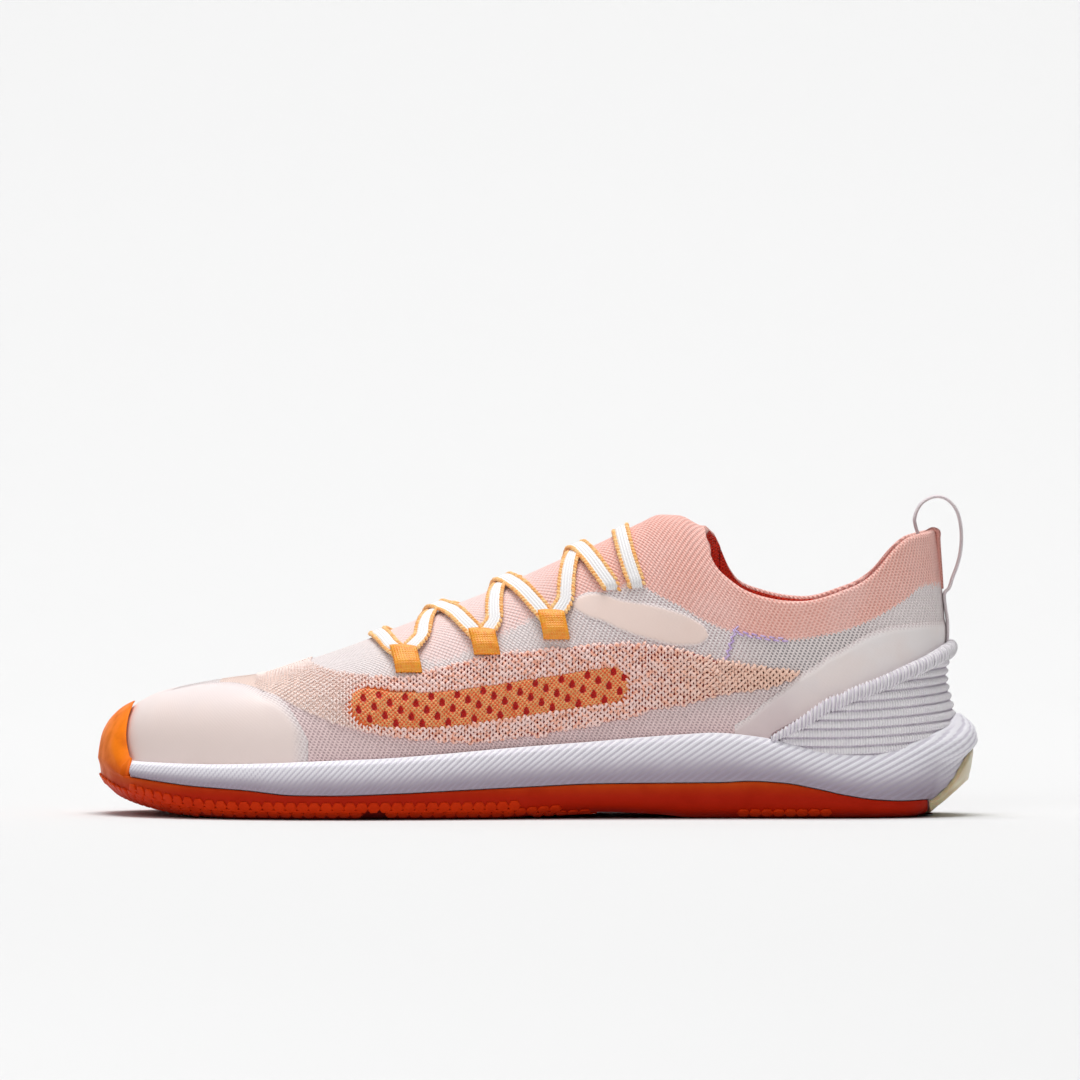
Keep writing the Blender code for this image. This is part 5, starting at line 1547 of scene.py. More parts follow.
def bumper_outer(turn, side):
    """Outer and inner rows of the toe bumper."""
    lip = wrap_height(turn, side)
    rim_clear = rim_height(turn, side) + 2 * FIT_GAP
    top = max(BUMPER_HEIGHT * float(bumper_top_of(turn)), rim_clear)
    below_rim = 2 * FIT_GAP + TOE_WALL
    over_film = 2 * FIT_GAP + FILM_THICKNESS + BUMPER_EASE
    outer = []
    for row in BUMPER_SIDE:
        height = lip + row.rise * (top - lip)
        least = BUMPER_EDGE + (below_rim if height < rim_clear else over_film)
        lift = max(row.lift * TOE_BUMPER, least)
        outer.append(SKIN.at(turn, side, SKIN.share_at(turn, side, height), lift))
    outer = rounded(outer, 3)
    crown = SKIN.at(turn, side, SKIN.share_at(turn, side, top + 0.0004), over_film + 0.0003)
    inner = [
        SKIN.at(turn, side, SKIN.share_at(turn, side, height), over_film)
        for height in np.linspace(top, rim_clear, 4)
    ]
    return outer, np.vstack((crown, inner))


def outsole_line(turn, side):
    """Half section of the rubber shell, from its underside round the lip to its inner floor."""
    middle, distance = hub(turn), reach(turn, side)
    side_line = rubber_line(turn, side)
    halfway = in_plan(turn, side, HALFWAY_SHARE * distance)
    near = in_plan(turn, side, 0.8 * distance)
    floor = size("lug_height")

    def low(spot, lift):
        return np.array((*spot, float(under(spot[0])) + lift))

    side_line[0, 2] = under(side_line[0, 0])
    line = [low(middle, floor), low(halfway, floor), low(near, floor)]
    lift = np.linspace(1.0, 0.0, 6) * floor
    side_line[:6, 2] += lift
    line += list(side_line)
    lip_spot, lip_top = lip_inner(turn, side)
    inner_lip = spot_at(turn, side, lip_spot, lip_top)
    if turn > BUMPER_START:
        outer, inner = bumper_outer(turn, side)
    else:
        outer = np.tile(side_line[-1], ((len(BUMPER_SIDE) - 1) * 3 + 1, 1))
        inner = np.tile(inner_lip, (5, 1))
    corner = in_plan(turn, side, floor_corner(turn, side))
    line += [*outer, *inner, inner_lip]
    for spot in (corner, halfway, middle):
        line.append(low(spot, OUTSOLE_FLOOR))
    return np.array(line)


def in_notch(points):
    """How far the flex notch is cut into each point of the rubber's side."""
    radius = ((NOTCH_WIDTH / 2) ** 2 + NOTCH_HEIGHT**2) / (2 * NOTCH_HEIGHT)
    x = BACK_X - NOTCH_ALONG * UPPER_LENGTH
    away = np.hypot(points[..., 0] - x, points[..., 2] - (NOTCH_HEIGHT - radius))
    return np.clip((radius - away) / 0.0008, 0.0, 1.0)


def ring_mesh(name, line_at, turns, material, extra=None, marks=None):
    """A closed solid whose half sections stand at each turn on both sides of the hub."""
    points, faces, values = [], [], {}
    count = 0
    for side in SIDES:
        grid = np.array([line_at(turn, side) for turn in turns])
        if extra:
            grid, found = extra(grid, turns, side)
            for key, value in found.items():
                values.setdefault(key, []).append(value.reshape(-1))
        points.append(grid.reshape(-1, 3))
        faces += grid_faces(grid.shape[0], grid.shape[1], start=count)
        count += grid.shape[0] * grid.shape[1]
    marks = {key: np.concatenate(value) for key, value in values.items()}
    return add_mesh(name, np.vstack(points), faces, [material], None, marks)


def build_outsole():
    """Rubber shell with its notches and bumper, and the honeycomb pads on it."""
    turns = spaced_turns(50, 240, 90, (2.6, 2.603, 2.606))

    def notch(grid, turns, side):
        depth = in_notch(grid)
        rows = np.arange(grid.shape[1])
        depth = np.where((rows > 2) & (rows < 25), depth, 0.0)
        depth = np.where((grid[..., 0] < -0.02) & (grid[..., 0] > -0.08), depth, 0.0)
        ribs = 0.5 + 0.5 * np.sin(grid[..., 0] / 0.0014 * math.tau)
        grid = grid.copy()
        grid[..., 1] -= side * depth * (0.0009 + 0.0004 * ribs)
        # The notch's depth is kept as a mark for its painted shade.
        return grid, {"recess": depth}

    shell = rubber_material("rubber", "rubber_side", "rubber_dark")
    sole = ring_mesh("outsole_rubber", outsole_line, turns, shell, notch)
    finish_piece(sole, "rubber", "outsole")

    pitch = size("lug_pitch")
    row_step = pitch * math.sqrt(3) / 2
    pads = []
    for row in range(-16, 17):
        for column in range(-44, 45):
            x = (column + 0.5 * (row % 2)) * pitch
            y = row * row_step
            if not sole_holds(x, y, pitch * 0.42):
                continue
            x_along = along_of(x)
            if 0.335 < x_along < 0.47 and abs(y) < 0.1:
                continue
            place = np.array((x, y, float(under(x)) + size("lug_height")))
            slope = (float(under(x + 0.001)) - float(under(x - 0.001))) / 0.002
            normal = unit(np.array((slope, 0.0, -1.0)))
            pads.append((place, (1.0, 0.0, slope), normal, (0.9, 0.9, size("lug_height") / pitch)))
    height = size("lug_height") * 0.8 / pitch
    outer = Surface(rubber_line, turns)
    total = outer.perimeter[-1]
    for side in SIDES:
        run = 0.0
        while run < total:
            turn = float(np.interp(run, outer.perimeter, outer.turns))
            along = along_of(in_plan(turn, side, reach(turn, side))[0])
            length = outer.length(turn, side)
            for k in range(6):
                drop = 0.0021 + k * row_step * 0.88
                shift = pitch / 2 * (k % 2)
                at = float(np.interp(run + shift, outer.perimeter, outer.turns))
                top = length - 0.0030
                if drop > top or not tread_shows(along, drop / length):
                    continue
                spot = outer.at(at, side, drop / length)
                ahead = outer.at(min(at + 0.004, 3.0), side, drop / length)
                back = outer.at(max(at - 0.004, 0.0), side, drop / length)
                if spot[2] < LOWEST_SIDE_PAD or float(in_notch(spot)) > 0.0:
                    continue
                normal = outer.normal(at, side, drop / length)
                run_way = Matrix.Rotation(math.pi / 6, 3, Vector(normal)) @ Vector(ahead - back)
                pads.append((spot, run_way, normal, (0.95, 0.95, height)))
            run += pitch * 0.97
    face = rubber_material("rubber pads", "rubber_pad", "rubber_side")
    lugs = stamped("outsole_pads", pads, lug_shape("lug"), face, pitch, 0.0, 11, smooth=False)
    finish_piece(lugs, "rubber")


def tread_shows(along, share):
    """Whether the honeycomb covers the rubber's side at a place along the shoe."""
    if 0.42 < along < 1.01:
        return share < 0.80 - 0.5 * max(0.0, (0.55 - along) / 0.13)
    return 0.04 < along < 0.25 and share < 0.5


def sole_holds(x, y, margin):
    """Whether a pad fits inside the flat underside."""
    inside = False
    scale = 0.0052 + margin
    ax, ay = FOOTPRINT[:, 0], FOOTPRINT[:, 1]
    bx, by = np.roll(ax, -1), np.roll(ay, -1)
    crosses = (ay > y) != (by > y)
    at = ax + (y - ay) * (bx - ax) / np.where(crosses, by - ay, 1.0)
    inside = int((crosses & (at > x)).sum()) % 2 == 1
    if not inside:
        return False
    run = np.column_stack((bx - ax, by - ay))
    t = np.clip(((x - ax) * run[:, 0] + (y - ay) * run[:, 1]) / (run**2).sum(axis=1), 0, 1)
    gap = np.hypot(ax + t * run[:, 0] - x, ay + t * run[:, 1] - y).min()
    along = along_of(x)
    extra = 0.009 * max(0.0, 1 - along / 0.06) if along < 0.06 else 0.0
    near_toe = -0.0045 if along > 0.93 else 0.0
    return gap > scale + extra + near_toe


def foam_line(turn, side, rows):
    """The foam's outer face at a turn, from its lower edge up to the rim."""
    distance, rim = reach(turn, side), rim_height(turn, side)
    shelf = wrap_height(turn, side) + FIT_GAP
    heel = float(heel_blend(turn))
    drops = np.linspace(1.0, 0.0, rows)
    out = (1 - heel) * foam_side_out(drops) * SIDE_FLARE + heel * foam_heel_out(drops) * HEEL_FLARE
    tuck = np.clip((turn - BUMPER_START + 0.05) / 0.05, 0.0, 1.0)
    out = out * (1 - tuck) + (FIT_GAP + TOE_WALL) * tuck
    plan = hub(turn) + (distance + out)[:, None] * way(turn, side)
    return np.column_stack((plan, rim - drops * (rim - shelf)))


FOAM_ROWS = 46


def midsole_line(turn, side):
    middle, distance = hub(turn), reach(turn, side)
    halfway = in_plan(turn, side, HALFWAY_SHARE * distance)
    seat = OUTSOLE_FLOOR + FIT_GAP
    corner = in_plan(turn, side, floor_corner(turn, side) - FIT_GAP)
    lip_spot, lip_top = lip_inner(turn, side)
    line = [np.array((*spot, float(under(spot[0])) + seat)) for spot in (middle, halfway, corner)]
    line.append(spot_at(turn, side, lip_spot - FIT_GAP, lip_top + FIT_GAP))
    line += list(foam_line(turn, side, FOAM_ROWS))
    rim, floor = rim_height(turn, side), float(footbed(in_plan(turn, side, distance)[0]))
    for share in (1.0, 0.75, 0.4):
        height = floor + share * (rim - floor)
        point = SKIN.at(turn, side, SKIN.share_at(turn, side, height), FIT_GAP)
        point[2] = height
        line.append(point)
    line.append(spot_at(turn, side, distance + FIT_GAP, floor))
    line.append(np.array((*halfway, float(footbed(halfway[0])))))
    line.append(np.array((*middle, float(footbed(middle[0])))))
    return np.array(line)


def build_midsole():
    """Foam cup with slanted ribs round its side."""
    turns = spaced_turns(130, 340, 150)

    def ribs(grid, turns, side):
        outer = grid[:, 4:4 + FOAM_ROWS]
        steps = np.linalg.norm(np.diff(outer[:, FOAM_ROWS // 2], axis=0), axis=1)
        run = np.concatenate(([0.0], np.cumsum(steps)))[:, None]
        height = outer[..., 2]
        slope = np.interp(along_of(outer[..., 0]), (0.0, 0.25, 0.6, 1.0), (0.42, 0.48, 0.62, 0.78))
        phase = (height + run * slope) / size("foam_rib_pitch") * math.tau
        shares = np.linspace(0.0, 1.0, FOAM_ROWS)
        edge = np.clip(np.minimum(shares, 1 - shares) / 0.05, 0.0, 1.0)[None, :]
        wave = np.sin(phase)
        relief = (np.sign(wave) * np.abs(wave) ** 0.7) * edge
        on, up = np.gradient(outer, axis=0), np.gradient(outer, axis=1)
        normal = unit(np.cross(up, on)) * -side
        grid = grid.copy()
        grid[:, 4:4 + FOAM_ROWS] = outer + normal * (relief * size("foam_rib_depth") / 2)[..., None]
        marks = np.full(grid.shape[:2], 1.0)
        marks[:, 4:4 + FOAM_ROWS] = relief
        ups = np.ones(grid.shape[:2])
        ups[:, 4:4 + FOAM_ROWS] = shares
        return grid, {"relief": marks, "up": ups}

    made = ring_mesh("midsole_foam", midsole_line, turns, foam_material(), ribs)
    finish_piece(made, "foam", "midsole")


def build_pad():
    """Translucent rubber insert at the back of the heel, with one raised line."""
    turns = spaced_turns(90, 2, 2)
    foam = Surface(lambda turn, side: foam_line(turn, side, 60), turns)
    top_of = curve(PAD_TOP, "turn", "top")
    used = [turn for turn in turns if turn < PAD_TOP[-1].turn] + [PAD_TOP[-1].turn]
    around = [(turn, LATERAL) for turn in reversed(used)] + [(turn, MEDIAL) for turn in used[1:]]
    rows = 34
    shares = np.linspace(0.0, 1.0, rows)
    loops = []
    for turn, side in around:
        top = foam.share_at(turn, side, RIM_HEIGHT * float(top_of(turn)))
        across = top * shares
        depth = np.minimum(1.0, np.minimum(shares + 0.05, 1 - shares) / 0.08)
        taper = min(1.0, (PAD_TOP[-1].turn - turn) / 0.05 + 0.2)
        ridge = 0.45 * np.exp(-(((shares - 0.55) / 0.045) ** 2))
        lift = FIT_GAP / 2 + PAD_THICKNESS * (np.sqrt(depth) * 0.8 + ridge * depth) * taper
        outer = foam.at(turn, side, across, lift)
        inner = foam.at(turn, side, across[::-1][1:-1], 0.0)
        loops.append(np.vstack((outer, inner)))
    made = add_loft("heel_pad_rubber", loops, pad_material())
    finish_piece(made, "clear_rubber", "heel_crash_pad")


def build_insole():
    """Sockliner inside the shoe, slightly cupped."""
    turns = spaced_turns(24, 80, 30)

    def line_at(turn, side):
        middle, distance = hub(turn), reach(turn, side)
        foot = SKIN.at(turn, side, 0.0, -(UPPER_WALL + 0.0004))
        share = SKIN.share_at(turn, side, foot[2] + INSOLE_THICKNESS)
        top = SKIN.at(turn, side, share, -(UPPER_WALL + INSOLE_GAP))
        line = []
        for share, lift in INSOLE_LINE:
            edge = foot if lift < 0.5 else top
            spot = middle + (edge[:2] - middle) * share
            height = float(footbed(spot[0])) + INSOLE_GAP + lift * INSOLE_THICKNESS
            line.append(np.array((*spot, height)))
        return np.array(line)

    s = Shade("sockliner", 0.9, Sheen_Weight=0.2)
    x, y, z = s.place()
    weave = s.lattice(x, y, 0.0022, 0.0022)
    s.color(s.mix(s.step(weave, 0.2, -0.5), tint("lining"), tint("lining_shade")))
    s.bump(weave, 0.0003, 0.6)
    finish_piece(ring_mesh("sockliner", line_at, turns, s.material), "lining", "insole")


# ---- laces, tabs and loop ----


def build_tabs():
    """Folded loops of tape that carry the lace."""
    outer_top = FIT_GAP + 2 * TAB_TAPE + TAB_CHANNEL
    for row in TABS:
        for side_name, side in (("lateral", LATERAL), ("medial", MEDIAL)):
            half = TAB_WIDTH / 2 / UPPER_LENGTH / (TOE_START - WAIST_START)
            loops, spread = [], []
            for shift in np.linspace(-half, half, 15):
                turn = turn_at(row.along) + shift
                length = SKIN.length(turn, side)
                low = SKIN.share_at(turn, side, INSTEP_HEIGHT * row.low)
                high = SKIN.share_at(turn, side, INSTEP_HEIGHT * row.high)
                bow = 1.0 - 0.25 * abs(shift / half) ** 3

                def tape(floor, roof, inset):
                    a, b = low + inset / length, high - inset / length
                    bend = 0.6 * (roof - floor) / length
                    middle = floor + 0.5 * (roof - floor)
                    path = [(a, floor), (a - 0.2 * bend, middle), (a + bend, roof), ((a + b) / 2, roof),
                            (b - bend, roof), (b + 0.2 * bend, middle), (b, floor)]
                    return rounded([(share, lift, 0.0) for share, lift in path], 4)

                roof = FIT_GAP + (outer_top - FIT_GAP) * bow
                outer = tape(0.0, roof, 0.0)
                inner = tape(0.0001, roof - TAB_TAPE, TAB_TAPE)[::-1]
                line = np.vstack((outer, inner))
                leans = TAB_LEAN * (high - line[:, 0]) / (high - low)
                places = [
                    SKIN.at(turn - lean, side, share, lift)
                    for lean, (share, lift, _) in zip(leans, line)
                ]
                loops.append(np.array(places))
                rise = line[:, 0] * length
                spread.append(np.column_stack((np.full(len(rise), SKIN.across(turn)), rise)))
            maps = {"rise": np.array(spread)}
            made = add_loft(f"tab_{side_name}_{row.name}", loops, tape_material(), maps)
            finish_piece(made, "tape", f"lace_tab_{side_name}_{row.name}")


def girth_spot(along, girth, lift):
    """Point of the upper at a signed share of the way from its crest down to the footbed."""
    side = MEDIAL if girth > 0 else LATERAL
    return SKIN.at(turn_at(along), side, 1 - abs(girth), lift)


def lace_path(row, start_side, over):
    """Middle of one strand, laid over the instep from inside one tab to inside the other."""
    def girth_at(along, height, side):
        turn = turn_at(along)
        return side * (1 - SKIN.share_at(turn, side, INSTEP_HEIGHT * height))

    start = girth_at(row.start_along, row.start_height, start_side)
    end = girth_at(row.end_along, row.end_height, -start_side)
    length = SKIN.length(turn_at(row.ridge_along), LATERAL)
    path = []
    for girth in np.linspace(start, end, 61):
        by_start = girth * (girth - end) / (start * (start - end))
        by_end = girth * (girth - start) / (end * (end - start))
        by_ridge = 1 - by_start - by_end
        along = row.start_along * by_start + row.end_along * by_end + row.ridge_along * by_ridge
        away = abs(girth) * length / (2.2 * size("lace_width"))
        climb = over * 0.5 * (1 + math.cos(math.pi * min(away, 1.0)))
        path.append((along, girth, climb))
    return path


def tuck_ends(path, row, start_side):
    """Carries a strand on into the tabs at its ends."""
    ends = {"lace_bar_front": ("front", "front"), "lace_cross_front": ("front", "middle"),
            "lace_cross_middle": ("middle", "back"), "lace_cross_back": ("back", None), "lace_bar_top": (None, None)}
    first, last = ends[row.name]
    rows = {tab.name: tab for tab in TABS}
    for name, side, at_start in ((first, start_side, True), (last, -start_side, False)):
        edge = path[0] if at_start else path[-1]
        if name is None:
            inner = path[1] if at_start else path[-2]
            way_on = (edge[1] - inner[1]) * 1.6
            more = [(edge[0], edge[1] + way_on * k / 3, -0.0004 * k) for k in (1, 2, 3)]
        else:
            tab = rows[name]
            turn = turn_at(tab.along)
            share = SKIN.share_at(turn, side, INSTEP_HEIGHT * (tab.low * 0.4 + tab.high * 0.6))
            goal = (tab.along, side * (1 - share))
            more = [
                (edge[0] + (goal[0] - edge[0]) * t, edge[1] + (goal[1] - edge[1]) * t, 0.0007 * t)
                for t in (0.25, 0.5, 0.75, 1.0)
            ]
        path = [*reversed(more), *path] if at_start else [*path, *more]
    return path


def ribbon_loops(points, normals, width, thickness, steps=9):
    """Closed loops of a flat band with rounded edges along a path."""
    points, normals = np.asarray(points), unit(np.asarray(normals))
    tangent = unit(np.gradient(points, axis=0))
    across = unit(np.cross(normals, tangent))
    shares = np.linspace(-1.0, 1.0, steps)
    swell = np.sqrt(np.maximum(1 - np.abs(shares) ** 3.5, 0.0))
    loops, spread = [], []
    lengths = np.concatenate(([0.0], np.cumsum(np.linalg.norm(np.diff(points, axis=0), axis=1))))
    for i in range(len(points)):
        aside = points[i] + across[i] * (shares * width / 2)[:, None]
        bulge = normals[i] * (swell * thickness / 2)[:, None]
        top, low = aside + bulge, aside - bulge
        loops.append(np.vstack((top, low[::-1][1:-1])))
        wide = np.concatenate((shares, shares[::-1][1:-1])) * width / 2
        spread.append(np.column_stack((np.full(len(wide), lengths[i]), wide)))
    return np.array(loops), np.array(spread), across, tangent


def build_laces():
    """Flat lace in bars and crossings, with picot beads along both edges."""
    width, thick = size("lace_width"), 0.0011
    beads = []
    for row in LACES:
        crossed = row.name.startswith("lace_cross")
        strands = [(LATERAL, 0.0)] + ([(MEDIAL, 0.00125)] if crossed else [])
        for index, (start_side, over) in enumerate(strands):
            path = tuck_ends(lace_path(row, start_side, over), row, start_side)
            base = FIT_GAP + 0.00035 + thick / 2
            places = [girth_spot(along, girth, base + climb) for along, girth, climb in path]
            points = np.array(places)
            normals = []
            for along, girth, _ in path:
                side = MEDIAL if girth > 0 else LATERAL
                normals.append(SKIN.normal(turn_at(along), side, 1 - abs(girth)))
            normals = np.array(normals)
            for _ in range(2):
                points[1:-1] = (points[:-2] + 2 * points[1:-1] + points[2:]) / 4
            loops, spread, across, tangent = ribbon_loops(points, normals, width, thick)
            name = f"{row.name}_strand" if index == 0 else f"{row.name}_strand_over"
            made = add_loft(name, loops, lace_material(), {"ribbon": spread})
            finish_piece(made, "lace", *([row.name] if index == 0 else []))
            steps = np.linalg.norm(np.diff(points, axis=0), axis=1)
            lengths = np.concatenate(([0.0], np.cumsum(steps)))
            pitch = size("bead_pitch")
            for edge in (-1, 1):
                for run in np.arange(pitch * (0.5 if edge > 0 else 1.0), lengths[-1], pitch):
                    mixed = [
                        np.array([np.interp(run, lengths, field[:, k]) for k in range(3)])
                        for field in (points, normals, across, tangent)
                    ]
                    place = mixed[0] + mixed[2] * edge * (width / 2 + 0.0001) + mixed[1] * 0.0002
                    lean = unit(mixed[3] + mixed[2] * 0.7)
                    beads.append((place, lean, mixed[1], (0.95, 0.9, 0.9)))
    bead = stamp_shape("bead", BEAD, 6)
    yarn = thread_material("lace edge", "lace_edge", "lace_edge_shade")
    picots = stamped("lace_picots", beads, bead, yarn, size("bead_pitch") * 1.12, 0.12, 2)
    finish_piece(picots, "lace")


def build_seams():
    """Lilac stitches under the collar and the zigzag thread that starts there."""
    spots = []
    for side in SIDES:
        alongs = np.arange(0.20, 0.262, 0.0052)
        for index, along in enumerate(alongs):
            turn = turn_at(along)
            height = INSTEP_HEIGHT * float(collar_seam(along)) + (0.0004 if index % 2 else -0.0004)
            share = SKIN.share_at(turn, side, height)
            place, ahead, normal, _ = skin_spot(turn, side, share, 0.0002, None)
            spots.append((place, ahead, normal, (1.0, 1.0, 1.0)))
        for index in range(10):
            along = 0.2575 + 0.0013 * index + (0.0016 if index % 2 else 0.0)
            turn = turn_at(along)
            height = INSTEP_HEIGHT * (0.628 - 0.0117 * index)
            share = SKIN.share_at(turn, side, height)
            place, ahead, normal, _ = skin_spot(turn, side, share, 0.0002, None)
            up = SKIN.at(turn, side, share + 0.01) - SKIN.at(turn, side, share - 0.01)
            lean = unit(up) + unit(ahead) * (0.8 if index % 2 else -0.8)
            spots.append((place, lean, normal, (1.0, 1.0, 1.0)))
    stitch = stamp_shape("stitch", STITCH, 6)
    yarn = thread_material("seam thread", "thread", "thread_shade")
    finish_piece(stamped("seam_stitches", spots, stitch, yarn, 0.0019, 0.05, 4), "knit")


def build_loop():
    """Ribbon loop at the back of the collar, its tape down the heel, and the collar's nub."""
    edge = SKIN.at(0.0, LATERAL, 1.0)
    half = LOOP_THICKNESS / 2

    def behind(up, lift):
        return SKIN.at(0.0, LATERAL, SKIN.share_at(0.0, LATERAL, HEEL_HEIGHT * up), lift)

    points = [behind(up, -(UPPER_WALL + FIT_GAP + LOOP_EASE + half)) for up in LOOP_INNER_LEG]
    points += [edge + np.array((row.back * LOOP_REACH, 0.0, row.up * LOOP_RISE)) for row in LOOP]
    points += [behind(up, half + (0.0 if up > 0.7 else 0.0003)) for up in LOOP_TAPE]
    points = np.array(points)
    points[:, 1] = edge[1]
    line = rounded(points, 8)
    tangent = unit(np.gradient(line, axis=0))
    normals = np.column_stack((tangent[:, 2], np.zeros(len(line)), -tangent[:, 0]))
    loops, spread, _, _ = ribbon_loops(line, -normals, LOOP_WIDTH, LOOP_THICKNESS, 13)
    finish = ribbon_material("ribbon", "ribbon", "ribbon_shade")
    made = add_loft("pull_loop_ribbon", loops, finish, {"ribbon": spread})
    finish_piece(made, "ribbon", "pull_loop")

    points = [edge + np.array((row.x, 0.0, row.z)) for row in BINDING_OVER]
    points += [behind(row.up, row.lift) for row in BINDING_DOWN]
    points = np.array(points)
    points[:, 1] = edge[1]
    line = rounded(points, 6)
    tangent = unit(np.gradient(line, axis=0))
    normals = np.column_stack((tangent[:, 2], np.zeros(len(line)), -tangent[:, 0]))
    loops, spread, _, _ = ribbon_loops(line, -normals, 0.0050, 0.0017, 13)
    finish = ribbon_material("binding", "binding", "binding_shade")
    made = add_loft("collar_binding", loops, finish, {"ribbon": spread})
    finish_piece(made, "knit")


# ---- stage ----


def add_light(name, place, aim, power, span, color=(1.0, 1.0, 1.0)):
    data = bpy.data.lights.new(name, "AREA")
    data.shape = "RECTANGLE"
    data.size, data.size_y = span
    data.energy = power
    data.color = color
    made = bpy.data.objects.new(name, data)
    made.location = place
    made.rotation_euler = (Vector(aim) - Vector(place)).to_track_quat("-Z", "Y").to_euler()
    bpy.context.scene.collection.objects.link(made)


def build_stage():
    """Pale floor that curves up behind the shoe, soft studio light and the camera."""
    sizes = bpy.context.scene.shoe_sizes
    profile = [(-2.2, 0.0), (0.9, 0.0)]
    for angle in np.linspace(0.1, math.pi / 2, 12):
        profile.append((0.9 + 1.2 * math.sin(angle), 1.2 - 1.2 * math.cos(angle)))
    profile.append((2.1, 3.0))
    points = [(x, y, z) for y, z in profile for x in (-3.0, 3.0)]
    faces = [(2 * i, 2 * i + 1, 2 * i + 3, 2 * i + 2) for i in range(len(profile) - 1)]
    data = bpy.data.meshes.new("floor")
    data.from_pydata(points, [], faces)
    floor = bpy.data.objects.new("floor", data)
    bpy.context.scene.collection.objects.link(floor)
    data.shade_smooth()
    s = Shade("floor", 0.9)
    s.color(tint("floor"))
    s.shader.inputs["Specular IOR Level"].default_value = 0.1
    # The backdrop is clear from behind, so that the shoe shows from every side.
    seen_from, clear = s.node("ShaderNodeNewGeometry"), s.node("ShaderNodeBsdfTransparent")
    either = s.node("ShaderNodeMixShader")
    shown = (seen_from.outputs["Backfacing"], s.shader.outputs[0], clear.outputs[0])
    for socket, value in zip(either.inputs, shown):
        s.feed(socket, value)
    s.feed(s.tree.nodes["Material Output"].inputs["Surface"], either.outputs[0])
    data.materials.append(s.material)
    floor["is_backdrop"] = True

    world = bpy.data.worlds.new("studio")
    bpy.context.scene.world = world
    world.use_nodes = True
    back = world.node_tree.nodes["Background"]
    back.inputs["Color"].default_value = (1.0, 1.0, 1.0, 1.0)
    back.inputs["Strength"].default_value = sizes.world_light
    add_light("top softbox", (0.0, 0.2, 4.0), (0.0, 0.2, 0.0), sizes.top_light, (2.4, 2.4))
    add_light("front softbox", (-0.5, -1.9, 1.1), (0.0, 0.0, 0.05), sizes.front_light, (1.8, 0.8))
    add_light("backdrop light", (0.0, 0.5, 2.3), (0.0, 2.0, 0.7), sizes.back_light, (3.4, 0.6))
    bpy.context.scene.view_settings.view_transform = "Standard"

    camera = bpy.data.cameras.new("camera")
    camera.sensor_width = 36.0
    camera.lens = camera.sensor_width * CAMERA_DISTANCE / (PIXEL * 1080)
    camera.clip_end = 20.0
    aim = Vector(CAMERA_AIM)
    back_way = Vector((0.0, -math.cos(CAMERA_RISE), math.sin(CAMERA_RISE)))
    view = bpy.data.objects.new("camera", camera)
    view.location = aim + back_way * CAMERA_DISTANCE
    view.rotation_euler = (-back_way).to_track_quat("-Z", "Y").to_euler()
    bpy.context.scene.collection.objects.link(view)
    bpy.context.scene.camera = view


# ---- add-on ----


def length_prop(name, about, value):
    return bpy.props.FloatProperty(
        name=name, description=about, default=value, unit="LENGTH", precision=5
    )


def power_prop(name, about, value):
    return bpy.props.FloatProperty(name=name, description=about, default=value, unit="POWER")


def color_prop(name, about, *value):
    return bpy.props.FloatVectorProperty(
        name=name, description=about, default=tuple(v / 255 for v in value), subtype="COLOR_GAMMA",
        size=3, min=0.0, max=1.0,
    )  # fmt: skip


class ShoeSizes(bpy.types.PropertyGroup):
    """Sizes of the fine details, and the strength of the lights."""

    stitch_pitch: length_prop("Stitch pitch", "Distance between fine stitches", 0.00140)
    knot_pitch: length_prop("Knot pitch", "Distance between the knots of the coarse band", 0.00195)
    vent_width: length_prop("Vent width", "Width of the vent strip", 0.0118)
    hole_pitch: length_prop("Hole pitch", "Distance between the vent's holes in a row", 0.0080)
    hole_row: length_prop("Hole rows", "Distance between the rows of the vent's holes", 0.00205)
    hole_shift: length_prop("Hole shift", "Shift of each row of holes from the next", 0.0033)
    hole_width: length_prop("Hole width", "Width of the vent's holes", 0.0019)
    hole_height: length_prop("Hole height", "Height of the vent's holes", 0.0031)
    cuff_rib_pitch: length_prop("Cuff rib pitch", "Height of one rib of the cuff", 0.0027)
    roll_rib_pitch: length_prop("Roll rib pitch", "Distance between ribs of the cuff's edge", 0.0014)
    foam_rib_pitch: length_prop("Foam rib pitch", "Height between the ribs of the foam", 0.0019)
    foam_rib_depth: length_prop("Foam rib depth", "Depth of the foam's grooves", 0.0004)
    lug_pitch: length_prop("Pad pitch", "Distance between the tread's pads", 0.0037)
    lug_height: length_prop("Pad height", "Height of the tread's pads", 0.0005)
    lace_width: length_prop("Lace width", "Width of the lace without its picots", 0.0043)
    bead_pitch: length_prop("Picot pitch", "Distance between the lace's edge beads", 0.00132)
    world_light: bpy.props.FloatProperty(
        name="World light", description="Strength of the soft surround", default=0.13
    )
    top_light: power_prop("Top light", "Power of the top softbox", 158.0)
    front_light: power_prop("Front light", "Power of the front softbox", 13.0)
    back_light: power_prop("Backdrop light", "Power of the backdrop's light", 11.0)


